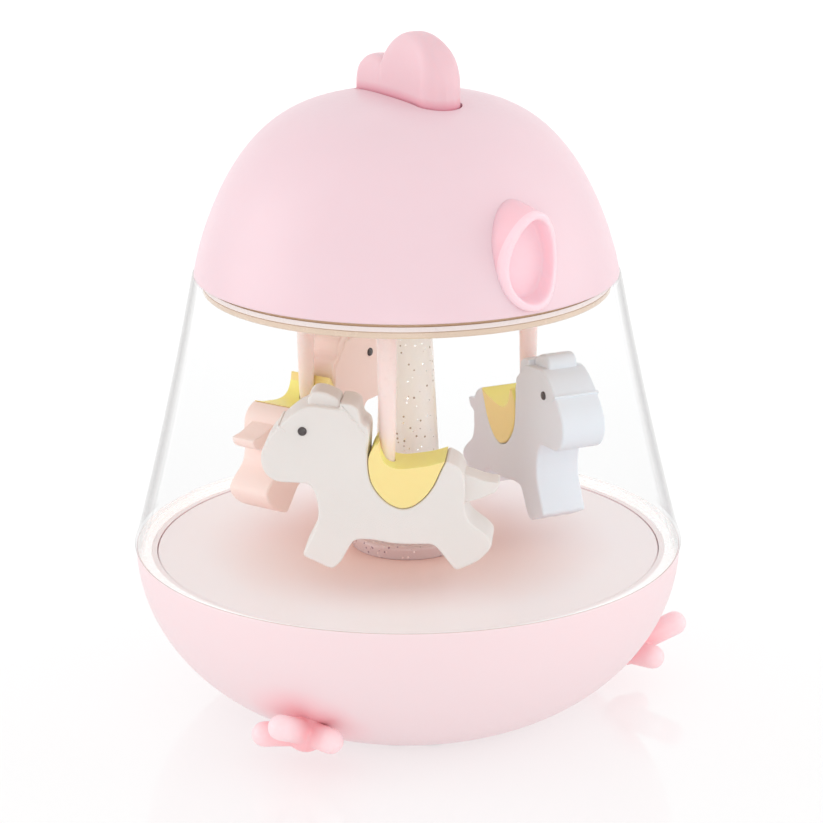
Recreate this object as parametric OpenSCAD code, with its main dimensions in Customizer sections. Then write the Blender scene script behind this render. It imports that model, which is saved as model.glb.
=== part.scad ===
// Chick-shaped carousel music box: a bowl base, a clear shell with three horses
// that hang from a turning ceiling disc, and a domed head whose comb is the button.
// +Z is up, the beak points to -Y, and the origin is on the table under the centre.

/* [Body] */
// Height of the seam between the base bowl and the clear shell
seam_z = 36; // [35:0.5:37]
// Radius of the base bowl at that seam
bowl_r = 59.8; // [59:0.1:61]
// Height of the clear shell above the seam
shell_h = 60.3; // [59.8:0.1:60.8]
// Wall thickness of the moulded shells
wall = 2.2; // [2:0.1:2.4]
// Height of the head dome above the clear shell
dome_h = 38.3; // [38:0.1:40]
// Radius of the head dome at its rim
dome_r = 45.7; // [45.5:0.1:45.9]

/* [Carousel] */
// Distance from the axis to each pole
pole_circle_r = 28.8; // [28.5:0.1:29]
// Angle of the first pole at rest, from +X
first_pole_angle = -132.3; // [-180:0.1:180]
// Thickness of a horse's body
horse_t = 10.5; // [9:0.5:12]
// Turn of each horse inwards from the direction of travel
horse_turn = 3.5; // [0:0.5:5]
// Height of the hooves above the table
hoof_z = 40; // [39:0.5:41]
// Radius of a pole where it enters the saddle
pole_tip_r = 1.5; // [1.3:0.1:1.6]
// Radius of a pole at the ceiling disc
pole_top_r = 1.9; // [1.6:0.1:2]
// Radius of the ceiling disc
disc_r = 34; // [33:0.5:34]

/* [Column] */
// Radius of the glitter column at its foot
column_foot_r = 7.8; // [7:0.1:8.2]
// Radius of the glitter column under the ceiling disc
column_top_r = 5; // [4.8:0.1:5.4]
// Radius of the collar at the foot of the column
collar_r = 12.3; // [11.5:0.1:13]

/* [Gear train] */
// Tooth module of every gear
tooth_module = 0.5; // [0.5:0.01:0.5]
// Teeth of the gear on the ceiling disc
rotor_teeth = 70; // [70:14:70]
// Teeth of the idler's large gear
idler_teeth = 42; // [42:14:42]
// Teeth of the idler's small gear and of the motor pinion
pinion_teeth = 14; // [14:1:14]
// Play between two meshing teeth
backlash = 0.12; // [0.1:0.01:0.16]

/* [Comb button] */
// Half length of the comb, front to back
comb_half_l = 16.6; // [16:0.1:17]
// Half thickness of the comb at its front end
comb_front_r = 4.7; // [4:0.1:5]
// Half thickness of the comb at its back end
comb_back_r = 3; // [2.6:0.1:3.4]
// Gap between the comb and its slot
comb_gap = 0.45; // [0.35:0.05:0.6]
// Travel of the comb when pressed
comb_travel = 1.5; // [1:0.1:1.5]

/* [Hidden] */
$fn = 96;
eps = 0.01;

// colours
shell_pink = [0.96, 0.85, 0.87];
deep_pink = [0.96, 0.74, 0.78];
pole_pink = [0.96, 0.72, 0.68];
saddle_yellow = [0.98, 0.86, 0.55];
glitter_beige = [0.85, 0.78, 0.74];
steel = [0.75, 0.76, 0.78];
board_green = [0.2, 0.45, 0.3];
dark_plastic = [0.2, 0.2, 0.22];
nylon_white = [0.92, 0.92, 0.9];

// base bowl
bowl_depth = 41;          // depth of the full bowl shape below the seam
bowl_base_z = 0.6;        // underside of the bowl, carried by the rubber pads
bowl_floor_z = 3.6;       // inner floor of the bowl
rim_inner_r = 55.3;       // inside of the rim that holds the floor plate
ledge_r = 53;             // inside of the ledge under the floor plate
groove_in_r = 56.7;
groove_out_r = 58.7;
groove_depth = 2.8;

// floor plate
plate_top_z = seam_z - 1.4;
plate_t = 2;
plate_r = rim_inner_r - 0.1;
screw_x = 18.6;
screw_y = 23.2;
screw_seat_z = 6;         // where the floor plate's bosses stand in the bowl's sockets

// battery bay
door_l = 50;
door_w = 38;
door_t = 1.4;
door_tab_y = 21.3;
bay_l = 46.6;
bay_w = 34.6;
box_wall = 1.2;
box_top_z = 16;
cell_r = 5.25;
cell_l = 44.5;
cell_pitch = 11.2;
cell_z = 9.5;

// boards, speaker, switch
board_z = 20;
speaker_y = 31;
speaker_r = 14;
speaker_z = 17;
led_board_z = 29.6;
switch_z = 21.5;
switch_travel = 4;

// clear shell and head
shell_top_z = seam_z + shell_h;
shell_r = bowl_r + 0.3;
dome_power_z = 1.25;
dome_power_r = 3.53;
deck_z = shell_top_z + 8.7;
deck_t = 2;
deck_r = 39.8;
leg_circle_r = 38;
leg_angles = [90, 210, 330];
plug_r = shell_outer(shell_h) - wall;  // chassis rim inside the clear shell

// carousel
pole_angles = [for (i = [0:2]) first_pole_angle + 120 * i];
disc_z = shell_top_z - 1;
disc_t = 2;
hub_r = 8;
neck_r = 3.6;
neck_base_z = shell_top_z - 3.8;
bush_r = 5.5;
socket_top_z = disc_z + 5;
running_gap = 0.06;

// gear train
rotor_pitch_r = tooth_module * rotor_teeth / 2;
idler_pitch_r = tooth_module * idler_teeth / 2;
pinion_pitch_r = tooth_module * pinion_teeth / 2;
idler_y = rotor_pitch_r + pinion_pitch_r;
motor_angle = 210;        // direction from the idler to the motor pinion
motor_pos = [(idler_pitch_r + pinion_pitch_r) * cos(motor_angle),
             idler_y + (idler_pitch_r + pinion_pitch_r) * sin(motor_angle)];
low_gear_z = disc_z + 3.1;
high_gear_z = disc_z + 6;
motor_r = 7;

// comb
comb_flange_z = shell_top_z + 32.6;
comb_flange_t = 1.6;
guide_z = shell_top_z + 25.2;
guide_t = 1.5;
stem_r = 2.5;
plunger_r = 1.25;
plunger_z = shell_top_z + 20.1;
switch_board_z = shell_top_z + 15.7;
beak_z = shell_top_z + 11.1;
beak_reach = 47.1;        // from the axis to the middle of the beak's rim
beak_half_w = 7.2;
beak_half_h = 10.4;
beak_bow_r = 10;

// outer radius of the bowl-like shape of mouth radius r and depth d, at height z
function bowl_curve(z, r, d) = r * pow(1 - pow((seam_z - z) / d, 1.97), 1 / 2.46);

// radius of a dome of rim radius r and height h, at fraction a of its height
function dome_curve(a, r) = r * pow(max(0, 1 - pow(a, dome_power_z)), 1 / dome_power_r);

// outer radius of the clear shell at height h above the seam
function shell_outer(h) = shell_r - 0.268 * h + 0.0006 * h * h;

// half dome profile: the steps crowd towards the top, where the curve turns in
function dome_profile(r, h, steps = 22) =
    [for (i = [0:steps]) let (a = sin(90 * i / steps))
        [i == steps ? 0 : dome_curve(a, r), shell_top_z + h * a]];

module ring(r_out, r_in, z, h) {
    translate([0, 0, z]) difference() {
        cylinder(r = r_out, h = h);
        translate([0, 0, -eps]) cylinder(r = r_in, h = h + 2 * eps);
    }
}

module rod(r, z, h) {
    translate([0, 0, z]) cylinder(r = r, h = h);
}

module slab(l, w, z, h) {
    translate([-l / 2, -w / 2, z]) cube([l, w, h]);
}

// places its children at (x, y), (-x, y), (x, -y) and (-x, -y)
module four_corners(x, y) {
    for (sx = [-1, 1], sy = [-1, 1]) translate([sx * x, sy * y, 0]) children();
}

// ---------- base ----------

module bowl_solid() {
    rotate_extrude() polygon(concat(
        [[0, bowl_base_z]],
        [for (z = [bowl_base_z, 1.6, 2.8, 4.4, 6.4, 9, 12, 15.5, 19.5, 24, 29, 32.5, seam_z])
            [bowl_curve(z, bowl_r, bowl_depth), z]],
        [[0, seam_z]]
    ));
}

module bowl_hollow() {
    inner_r = bowl_r - wall;
    inner_d = bowl_depth - wall;
    ledge_z = plate_top_z - plate_t;
    rotate_extrude() polygon(concat(
        [[0, bowl_floor_z]],
        [for (z = [bowl_floor_z, 5, 7, 9.5, 12.5, 16, 20, 24])
            [bowl_curve(z, inner_r, inner_d), z]],
        [[ledge_r, 29], [ledge_r, ledge_z], [rim_inner_r, ledge_z],
         [rim_inner_r, seam_z + 1], [0, seam_z + 1]]
    ));
}

module shell_groove() {
    ring(groove_out_r, groove_in_r, seam_z - groove_depth, groove_depth + 1);
}

module screw_sockets() {
    four_corners(screw_x, screw_y) rod(3.8, bowl_floor_z - 1, screw_seat_z + 4 - bowl_floor_z);
    for (s = [-1, 1]) translate([0, s * door_tab_y, 0]) rod(2.1, bowl_floor_z - 1, 5);
    // posts that carry the speaker, and the two ribs that hold the slide switch
    for (a = [90, 210, 330]) translate([0, speaker_y, 0]) rotate(a)
        translate([speaker_r - 1.5, 0, 0]) rod(1.6, bowl_floor_z - 1, speaker_z - bowl_floor_z + 1);
    for (s = [-1, 1]) translate([s * 7 - 1, 46, switch_z - 4.5]) cube([2, 20, 9]);
}

// everything that is cut out of the bowl's bottom and back
module bowl_openings() {
    slab(bay_l, bay_w, 0, 5);
    slab(door_l + 0.6, door_w + 0.6, 0, 0.9 + door_t);
    for (s = [-1, 1]) translate([0, s * door_tab_y, 0]) {
        rod(2.9, 0, 0.9 + door_t);
        rod(0.95, 0, 7);
        translate([-2.9, s > 0 ? -5 : 0, 0]) cube([5.8, 5, 0.9 + door_t]);
    }
    four_corners(screw_x, screw_y) {
        rod(2.5, 0, 4);
        rod(1.3, 0, 7);
        rod(3.05, screw_seat_z, 5);
    }
    for (p = pad_places) translate([p[0], p[1], 0]) rod(2.5, 0, 1.2);
    // sound holes under the speaker
    translate([0, speaker_y + 2, 0]) {
        rod(1.2, 0, 8);
        for (a = [0:60:300]) rotate(a) translate([6, 0, 0]) rod(1.2, 0, 8);
    }
    translate([-3.7, 50, switch_z - 1.5]) cube([7.4, 12, 3]);
    for (s = [-1, 1]) foot_place(s) foot_peg(1.5);
}

module base_bowl() {
    color(shell_pink) difference() {
        union() {
            difference() {
                bowl_solid();
                bowl_hollow();
                shell_groove();
            }
            intersection() {
                bowl_solid();
                screw_sockets();
            }
        }
        bowl_openings();
    }
}

pad_places = [[29, 0], [-29, 0], [12, 27], [-12, 27], [12, -27], [-12, -27]];

module rubber_pads() {
    color(dark_plastic) for (p = pad_places) translate([p[0], p[1], 0]) rod(2.5, 0, 1.2);
}

module battery_door() {
    color(shell_pink) difference() {
        union() {
            slab(door_l, door_w, 0.9, door_t);
            for (s = [-1, 1]) translate([0, s * door_tab_y, 0.9]) {
                cylinder(r = 2.6, h = door_t);
                translate([-2.6, s > 0 ? -4 : 0, 0]) cube([5.2, 4, door_t]);
            }
        }
        for (s = [-1, 1]) translate([0, s * door_tab_y, 0]) {
            rod(1.1, 0, 4);
            rod(1.9, 0, 1.7);
        }
        // finger grip
        for (i = [-2:2]) translate([-6, 10 + i * 1.6, 0.4]) cube([12, 0.8, 0.9]);
    }
}

module door_screws() {
    color(steel) for (s = [-1, 1]) translate([0, s * door_tab_y, 0]) {
        rod(1.8, 0.9, 0.8);
        rod(0.95, 0.9, 5);
    }
}

module base_screws() {
    color(steel) four_corners(screw_x, screw_y) {
        rod(2.2, 2.4, 1.6);
        rod(1.1, 2.4, 15);
    }
}

module battery_box() {
    color(nylon_white) difference() {
        union() {
            slab(bay_l + 2 * box_wall + 1.2, bay_w + 2 * box_wall + 1.2, bowl_floor_z,
                 box_top_z - bowl_floor_z);
            four_corners(22, 11) rod(1.8, box_top_z - eps, board_z - box_top_z + eps);
        }
        slab(bay_l + 1.2, bay_w + 1.2, bowl_floor_z - 1, box_top_z - box_wall - bowl_floor_z + 1);
    }
}

module batteries() {
    color("seagreen") for (i = [-1:1]) translate([-cell_l / 2, i * cell_pitch, cell_z])
        rotate([0, 90, 0]) {
            cylinder(r = cell_r, h = cell_l - 1);
            cylinder(r = 1.9, h = cell_l);
        }
}

module battery_contacts() {
    contact_x = bay_l / 2 + 0.6;
    color(steel) for (i = [-1:1], s = [-1, 1]) translate([0, i * cell_pitch, cell_z]) {
        translate([s * (contact_x - 0.2) - 0.2, -4, -4.5]) cube([0.4, 8, 9]);
        translate([s * (cell_l / 2 + (contact_x - 0.4 - cell_l / 2) / 2), 0, 0])
            rotate([0, 90, 0]) cylinder(r = 1.5, h = contact_x - 0.4 - cell_l / 2, center = true);
    }
}

module floor_plate() {
    color(shell_pink) difference() {
        union() {
            rod(plate_r, plate_top_z - plate_t, plate_t);
            four_corners(screw_x, screw_y)
                rod(3, screw_seat_z, plate_top_z - plate_t - screw_seat_z + eps);
            for (s = [-1, 1]) translate([s * 10.3, 0, 0])
                rod(1.6, led_board_z + 1.2, plate_top_z - plate_t - led_board_z - 1.2 + eps);
        }
        rod(4, plate_top_z - plate_t - 1, plate_t + 2);
        four_corners(screw_x, screw_y) rod(1.1, screw_seat_z - 1, 14);
        for (a = led_angles) rotate(a) translate([7.2, 0, plate_top_z - plate_t - 1])
            cylinder(r = 1.7, h = plate_t + 2);
    }
}

module main_board() {
    color(board_green) difference() {
        translate([-26, -16, board_z]) cube([52, 30, 1.2]);
        four_corners(22, 11) rod(0.9, board_z - 1, 4);
    }
}

module board_parts() {
    top = board_z + 1.2;
    color(dark_plastic) {
        slab(7, 6, top, 3);
        translate([-20, -9, top]) cube([10, 10, 1.6]);
        translate([10, -10, top]) cube([6, 5, 1.4]);
        translate([13, 3, top]) cylinder(r = 3, h = 6);
        translate([-9, 5, top]) cylinder(r = 2.5, h = 5);
    }
}

module speaker_frame() {
    color(steel) translate([0, speaker_y, speaker_z]) rotate_extrude()
        polygon([[12.2, 0], [speaker_r, 0], [speaker_r, 1.4], [12.8, 1.4], [8.4, 5],
                 [8.4, 5.6], [0, 5.6], [0, 4.6], [7.6, 4.6], [12.2, 1]]);
}

module speaker_cone() {
    color(dark_plastic) translate([0, speaker_y, speaker_z]) rotate_extrude()
        polygon([[0, 2.2], [4, 1.6], [5, 2.6], [12.2, 0.1], [12.2, 0.6], [5, 3.2],
                 [3.9, 2.2], [0, 2.8]]);
}

module speaker_magnet() {
    color("dimgray") translate([0, speaker_y, 0]) {
        rod(6.5, speaker_z + 5.6, 3.4);
        rod(5, speaker_z + 9, 0.8);
    }
}

// the slide switch at the back; its lever stands in a groove open to the back
module power_switch() {
    color(dark_plastic) difference() {
        translate([-6, 46, switch_z - 3.5]) cube([12, 6, 7]);
        translate([-3.7, 49, switch_z - 1.4]) cube([7.4, 4, 2.8]);
    }
}

module switch_knob() {
    color(nylon_white) translate([-switch_travel / 2, 0, switch_z]) {
        translate([-1.4, 49.3, -1.1]) cube([2.8, 8, 2.2]);
        for (i = [-1:1]) translate([i - 0.25, 57.3, -1.1]) cube([0.5, 0.5, 2.2]);
    }
}

led_angles = [90, 210, 330];

module led_board() {
    color(nylon_white) ring(12, 4, led_board_z, 1.2);
}

module leds() {
    color([1, 0.95, 0.75]) for (a = led_angles) rotate(a) translate([7.2, 0, led_board_z + 1.2]) {
        cylinder(r = 1.5, h = 1.8);
        translate([0, 0, 1.8]) intersection() {
            sphere(r = 1.5);
            cylinder(r = 2, h = 2);
        }
    }
}

module wire_harness() {
    color("firebrick") rod(1.5, board_z + 4.2, switch_board_z - board_z - 4.2);
}

// ---------- feet ----------

foot_angle = 60;          // from the front, to each side
toe_r = 2.7;
toe_root = [47.5, 0, 6.2];
toe_tips = [[53.8, 7.2, 7], [60.2, 0, 11.9], [53.8, -7.2, 7]];

// turns its children from the +X direction to a foot's place; side is 1 for +X, -1 for -X
module foot_place(side) {
    rotate(-90 + side * foot_angle) children();
}

module foot_peg(r) {
    translate([44, 0, 8]) rotate([0, 90, 0]) cylinder(r = r, h = 6);
}

module toe(from, to) {
    hull() for (p = [from, to]) translate(p) sphere(r = toe_r, $fn = 20);
}

module foot(side) {
    color(deep_pink) foot_place(side) {
        difference() {
            union() {
                for (tip = toe_tips) toe(toe_root, tip);
                translate([49, 0, 6.8]) sphere(r = 4.2);
            }
            bowl_solid();
        }
        intersection() {
            foot_peg(1.45);
            bowl_solid();
        }
    }
}

module left_foot() foot(-1);
module right_foot() foot(1);

// ---------- column and clear shell ----------

module column_collar() {
    color(glitter_beige) difference() {
        translate([0, 0, plate_top_z]) rotate_extrude()
            polygon([[0, 0], [collar_r, 0], [collar_r, 2.4], [collar_r - 0.6, 3], [0, 3]]);
        rod(column_foot_r, plate_top_z - 1, 6);
    }
}

module column_tube() {
    color(glitter_beige) difference() {
        rotate_extrude() polygon([[0, plate_top_z], [column_foot_r, plate_top_z],
            [column_foot_r, plate_top_z + 3], [column_top_r, neck_base_z], [neck_r, neck_base_z],
            [neck_r, deck_z + 6], [0, deck_z + 6]]);
        rod(2.4, plate_top_z - 1, deck_z + 8 - plate_top_z);
    }
}

module column_nut() {
    color(steel) ring(6.3, neck_r, deck_z + deck_t, 2.5);
}

module thrust_washer() {
    color("goldenrod") ring(column_top_r, neck_r + running_gap, neck_base_z, 0.6);
}

module clear_shell() {
    lip_out = groove_out_r - 0.1;
    lip_in = groove_in_r + 0.1;
    steps = 8;
    color([0.95, 0.97, 1, 0.3]) rotate_extrude() polygon(concat(
        [[lip_in, seam_z - groove_depth + 0.2], [lip_out, seam_z - groove_depth + 0.2],
         [lip_out, seam_z], [shell_outer(0), seam_z]],
        [for (i = [1:steps]) let (h = shell_h * i / steps) [shell_outer(h), seam_z + h]],
        [for (i = [steps:-1:1]) let (h = shell_h * i / steps) [shell_outer(h) - wall, seam_z + h]],
        [[lip_in, seam_z + 3]]
    ));
}

// ---------- carousel ----------

// places its children at a pole, with +X pointing the way the horse faces
module at_pole(angle) {
    rotate(angle) translate([pole_circle_r, 0, 0]) rotate(horse_turn - 90) children();
}

module carousel_disc() {
    color(shell_pink) difference() {
        union() {
            rod(disc_r, disc_z, disc_t);
            rod(hub_r, neck_base_z + 0.7, disc_z + 5.3 - neck_base_z - 0.7);
            for (a = pole_angles) at_pole(a) rod(3.1, disc_z, socket_top_z - disc_z);
        }
        rod(bush_r, neck_base_z, 20);
        for (a = pole_angles) at_pole(a) rod(pole_top_r, disc_z - 1, 10);
    }
}

module hub_bush() {
    color("goldenrod") ring(bush_r, neck_r + running_gap, neck_base_z + 0.7, 8);
}

module pole(angle) {
    pommel_z = hoof_z + 26;
    color(pole_pink) at_pole(angle) rotate_extrude() polygon([[0, hoof_z + 17],
        [pole_tip_r, hoof_z + 17], [pole_tip_r, pommel_z], [pole_top_r, disc_z],
        [pole_top_r, socket_top_z], [0, socket_top_z]]);
}

module white_pole() pole(pole_angles[0]);
module blue_pole() pole(pole_angles[1]);
module pink_pole() pole(pole_angles[2]);

// side view of a horse's body: x forward from the pole, y up from the hooves
horse_outline = [
    [9.4, 36.3], [9.4, 35], [15.9, 35.7], [18.4, 34.4], [22.3, 30.9], [24.6, 28.2],   // forehead
    [25.9, 25.6], [26, 22.8], [25, 20.5], [22.8, 19], [15.9, 18.8],                  // muzzle
    [14.6, 16.5], [14, 12.6], [14.5, 9.6], [16, 6.4], [17.7, 3],                     // chest
    [11.4, 0], [9.6, 1.6], [8, 4.6], [6.7, 6.7], [3.5, 6.9], [-2.1, 5.9],            // front leg
    [-10.1, 6.1], [-12.9, 2.4], [-14.6, 0.3], [-19.2, 2.5], [-21.3, 4.6],            // hind leg
    [-22.3, 6.6], [-20.9, 8.4], [-17.2, 11.2], [-16.3, 14], [-16.6, 18],             // hock
    [-16.2, 21.5], [-15, 23.2], [-12.6, 24.4], [3.7, 24.9],                          // rump
    [3.4, 29.5], [3.6, 31], [5.1, 32.1], [5.4, 33.8], [5.7, 35.2], [7, 36]           // mane
];
// the ear and forelock, and the tail, which are narrower than the body
ear_outline = [[9.4, 34.8], [9.4, 36.6], [12.6, 38.2], [14.9, 38.5], [16.6, 36.6], [15.9, 34.8]];
ear_t = 7;
tail_outline = [[-15.5, 14.8], [-19.7, 16.1], [-23.1, 17.5], [-23.7, 18.9], [-19, 19], [-15.5, 19.9]];
tail_t = 6;

// side view of a saddle, and of the notch it fills
saddle_outline = [
    [2, 27.6], [3.7, 24.9], [3.7, 22], [3.2, 19.2], [1.6, 16.6], [-0.6, 14.5], [-3.2, 13.5],
    [-5.5, 14], [-8.1, 16], [-10.1, 18.8], [-11.4, 21.9], [-12.6, 24.4]
];
seat_outline = [
    [-13, 29], [-12.6, 24.4], [-9.4, 23.3], [-6.4, 22.8], [-3.6, 22.4], [-1.4, 22.6],
    [0.2, 23.6], [1.4, 25.6], [2, 27.6], [2, 29]
];
eye_pos = [17.2, 30.2];
eye_r = 0.95;

module flat_shape(outline, t) {
    rotate([90, 0, 0]) linear_extrude(t, center = true) polygon(outline);
}

module horse(angle, coat) {
    color(coat) at_pole(angle) translate([0, 0, hoof_z]) difference() {
        union() {
            flat_shape(horse_outline, horse_t);
            flat_shape(ear_outline, ear_t);
            flat_shape(tail_outline, tail_t);
        }
        flat_shape(saddle_outline, horse_t + 1);
        flat_shape(seat_outline, horse_t + 1);
        rod(pole_tip_r, 17, 20);
        for (s = [-1, 1]) translate([eye_pos[0], s * horse_t / 2, eye_pos[1]]) rotate([90, 0, 0])
            cylinder(r = eye_r, h = 1, center = true);
    }
}

module saddle(angle) {
    color(saddle_yellow) at_pole(angle) translate([0, 0, hoof_z]) difference() {
        flat_shape(saddle_outline, horse_t);
        flat_shape(seat_outline, horse_t + 1);
        rod(pole_tip_r, 10, 20);
    }
}

module white_horse() horse(pole_angles[0], [0.93, 0.92, 0.9]);
module blue_horse() horse(pole_angles[1], [0.82, 0.87, 0.92]);
module pink_horse() horse(pole_angles[2], [0.95, 0.8, 0.8]);
module white_saddle() saddle(pole_angles[0]);
module blue_saddle() saddle(pole_angles[1]);
module pink_saddle() saddle(pole_angles[2]);

module horse_eyes() {
    color("black") for (a = pole_angles, s = [-1, 1]) at_pole(a)
        translate([eye_pos[0], s * (horse_t / 2 - 0.15), hoof_z + eye_pos[1]])
            rotate([90, 0, 0]) cylinder(r = eye_r, h = 0.7, center = true);
}

// ---------- gear train ----------

// a point on the involute of a base circle of radius rb, unrolled by t degrees
function involute(rb, t) = rb * [cos(t) + t * PI / 180 * sin(t), sin(t) - t * PI / 180 * cos(t)];

// the unrolling at which that involute reaches radius r
function unroll_to(rb, r) = sqrt(max(0, r * r / (rb * rb) - 1)) * 180 / PI;

function turned(p, a) = [p[0] * cos(a) - p[1] * sin(a), p[0] * sin(a) + p[1] * cos(a)];

function polar_angle(p) = atan2(p[1], p[0]);

// outline of a gear with a tooth centred on +X
function gear_outline(teeth) = let (
    pitch_r = tooth_module * teeth / 2,
    base_r = pitch_r * cos(20),
    tip_r = pitch_r + 0.85 * tooth_module,
    root_r = pitch_r - 1.15 * tooth_module,
    start = unroll_to(base_r, max(base_r, root_r)),
    stop = unroll_to(base_r, tip_r),
    at_pitch = polar_angle(involute(base_r, unroll_to(base_r, pitch_r))),
    half = 90 / teeth - backlash / pitch_r * 45 / PI,
    flank = [for (i = [0:3]) turned(involute(base_r, start + (stop - start) * i / 3),
                                    -half - at_pitch)],
    foot = root_r * [cos(polar_angle(flank[0])), sin(polar_angle(flank[0]))],
    side = concat(root_r < base_r ? [foot] : [], flank),
    last = len(side) - 1,
    other = [for (i = [last:-1:0]) [side[i][0], -side[i][1]]]
) [for (n = [0:teeth - 1], p = concat(side, other)) turned(p, 360 / teeth * n)];

module gear(teeth, z, h) {
    translate([0, 0, z]) linear_extrude(h) polygon(gear_outline(teeth));
}

module rotor_gear() {
    color(nylon_white) difference() {
        gear(rotor_teeth, disc_z + disc_t, 3.2);
        rod(hub_r, disc_z, 10);
    }
}

module idler_gear() {
    color(nylon_white) translate([0, idler_y, 0]) difference() {
        union() {
            rotate(-90) gear(pinion_teeth, low_gear_z, 2.2);
            rod(2.6, low_gear_z + 2.2 - eps, 0.7 + 2 * eps);
            rotate(motor_angle) gear(idler_teeth, high_gear_z, 2);
            rod(2.2, high_gear_z + 2 - eps, deck_z - high_gear_z - 2.1);
        }
        rod(1 + running_gap, low_gear_z - 1, 12);
    }
}

module idler_pin() {
    color(steel) translate([0, idler_y, 0]) {
        rod(1, low_gear_z - 0.7, deck_z + deck_t - low_gear_z + 0.7);
        rod(2, low_gear_z - 0.7, 0.6);
    }
}

module at_motor() {
    translate([motor_pos[0], motor_pos[1], 0]) children();
}

module motor_pinion() {
    color(nylon_white) at_motor() difference() {
        rotate(motor_angle - 180 + 180 / pinion_teeth) gear(pinion_teeth, high_gear_z - 0.2, 2.4);
        rod(1, high_gear_z - 1, 5);
    }
}

module motor_shaft() {
    color(steel) at_motor() rod(1, high_gear_z - 0.2, deck_z + deck_t + 5 - high_gear_z);
}

module gear_motor() {
    color("silver") at_motor() difference() {
        union() {
            rod(motor_r, deck_z + deck_t, 14);
            rod(3, deck_z + deck_t + 14 - eps, 1);
        }
        rod(1 + running_gap, deck_z, deck_t + 6);
    }
}

// ---------- head ----------

module head_chassis() {
    color(shell_pink) difference() {
        translate([0, 0, shell_top_z]) rotate_extrude() polygon([
            [disc_r + 0.6, -1], [plug_r - 2, -1], [plug_r - 2, -2.5], [plug_r - 0.1, -2.5],
            [plug_r - 0.1, 0], [dome_r - wall - 0.1, 0], [dome_r - wall - 0.4, 2],
            [disc_r + 0.6, 2]]);
        for (a = leg_angles) rotate(a) translate([leg_circle_r, 0, 0]) {
            rod(1.3, shell_top_z - 2, 6);
            rod(2.4, shell_top_z - 2, 2.6);
        }
    }
}

module gear_deck() {
    color(nylon_white) difference() {
        union() {
            rod(deck_r, deck_z, deck_t);
            for (a = leg_angles) rotate(a) translate([leg_circle_r, 0, 0])
                rod(2.9, shell_top_z + 2, deck_z - shell_top_z - 2 + eps);
            at_motor() ring(motor_r + 1.2, motor_r, deck_z + deck_t - eps, 4);
            for (s = [-1, 1]) translate([s * 9, -4, 0])
                rod(1.8, deck_z, switch_board_z - deck_z);
        }
        rod(neck_r, deck_z - 1, deck_t + 2);
        translate([0, idler_y, 0]) rod(1, deck_z - 1, deck_t + 2);
        at_motor() rod(2, deck_z - 1, deck_t + 2);
        for (a = leg_angles) rotate(a) translate([leg_circle_r, 0, 0])
            rod(1.3, shell_top_z, deck_z + 4 - shell_top_z);
    }
}

module head_screws() {
    color(steel) for (a = leg_angles) rotate(a) translate([leg_circle_r, 0, 0]) {
        rod(2.2, shell_top_z - 0.9, 1.5);
        rod(1.15, shell_top_z - 0.9, 16);
    }
}

module switch_board() {
    color(board_green) difference() {
        translate([-11.5, -9, switch_board_z]) cube([23, 14, 1]);
        for (s = [-1, 1]) translate([s * 9, -4, 0]) rod(0.8, switch_board_z - 1, 3);
    }
}

module push_switch() {
    color(dark_plastic) difference() {
        slab(8, 8, switch_board_z + 1, 6);
        rod(plunger_r + running_gap, plunger_z - comb_travel - 0.3, 10);
    }
}

module switch_plunger() {
    color("white") rod(plunger_r, plunger_z, guide_z - 0.3 - plunger_z);
}

module comb_guide() {
    color(nylon_white) difference() {
        union() {
            translate([-6, -12, guide_z]) cube([12, 24, guide_t]);
            for (y = [-12, 10.5]) translate([-4, y, deck_z + deck_t])
                cube([8, 1.5, guide_z - deck_z - deck_t + eps]);
        }
        rod(stem_r + running_gap, guide_z - 1, guide_t + 2);
    }
}

spring_turns = 4;
spring_mid_r = 4.2;
spring_wire_r = 0.35;
spring_steps = 16;

// a coil of round wire between the guide and the comb's flange
module comb_spring() {
    sides = 8;
    low = guide_z + guide_t + spring_wire_r + 0.02;
    rise = comb_flange_z - guide_z - guide_t - 2 * spring_wire_r - 0.04;
    rings = spring_turns * spring_steps;
    points = [for (i = [0:rings], k = [0:sides - 1]) let (
            a = 360 * i / spring_steps,
            b = 360 * k / sides,
            r = spring_mid_r + spring_wire_r * cos(b)
        ) [r * cos(a), r * sin(a), low + rise * i / rings + spring_wire_r * sin(b)]];
    walls = [for (i = [0:rings - 1], k = [0:sides - 1]) let (n = (k + 1) % sides)
        [i * sides + k, (i + 1) * sides + k, (i + 1) * sides + n, i * sides + n]];
    ends = [[for (k = [0:sides - 1]) k], [for (k = [sides - 1:-1:0]) rings * sides + k]];
    color(steel) polyhedron(points, concat(walls, ends), convexity = 10);
}

// the comb's plan: a round front and a smaller round back, joined by their tangents;
// grow moves the outline outwards
module comb_plan(grow, z, h) {
    front_r = comb_front_r + grow;
    back_r = comb_back_r + grow;
    front_y = comb_front_r - comb_half_l;
    back_y = comb_half_l - comb_back_r;
    lean = asin((comb_front_r - comb_back_r) / (back_y - front_y));
    steps = 12;
    front = [for (i = [0:steps]) let (a = 180 - lean + (180 + 2 * lean) * i / steps)
        [front_r * cos(a), front_y + front_r * sin(a)]];
    back = [for (i = [0:steps]) let (a = lean + (180 - 2 * lean) * i / steps)
        [back_r * cos(a), back_y + back_r * sin(a)]];
    translate([0, 0, z]) linear_extrude(h) polygon(concat(front, back));
}

// side view of the comb's two lobes: radius, and centre towards the back and above the dome rim
front_lobe = [11.5, -5, 40.7];
back_lobe = [7.6, 9.4, 38.2];

module lobe(l, t) {
    translate([0, l[1], shell_top_z + l[2]]) rotate([0, 90, 0]) cylinder(r = l[0], h = t, center = true);
}

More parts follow.
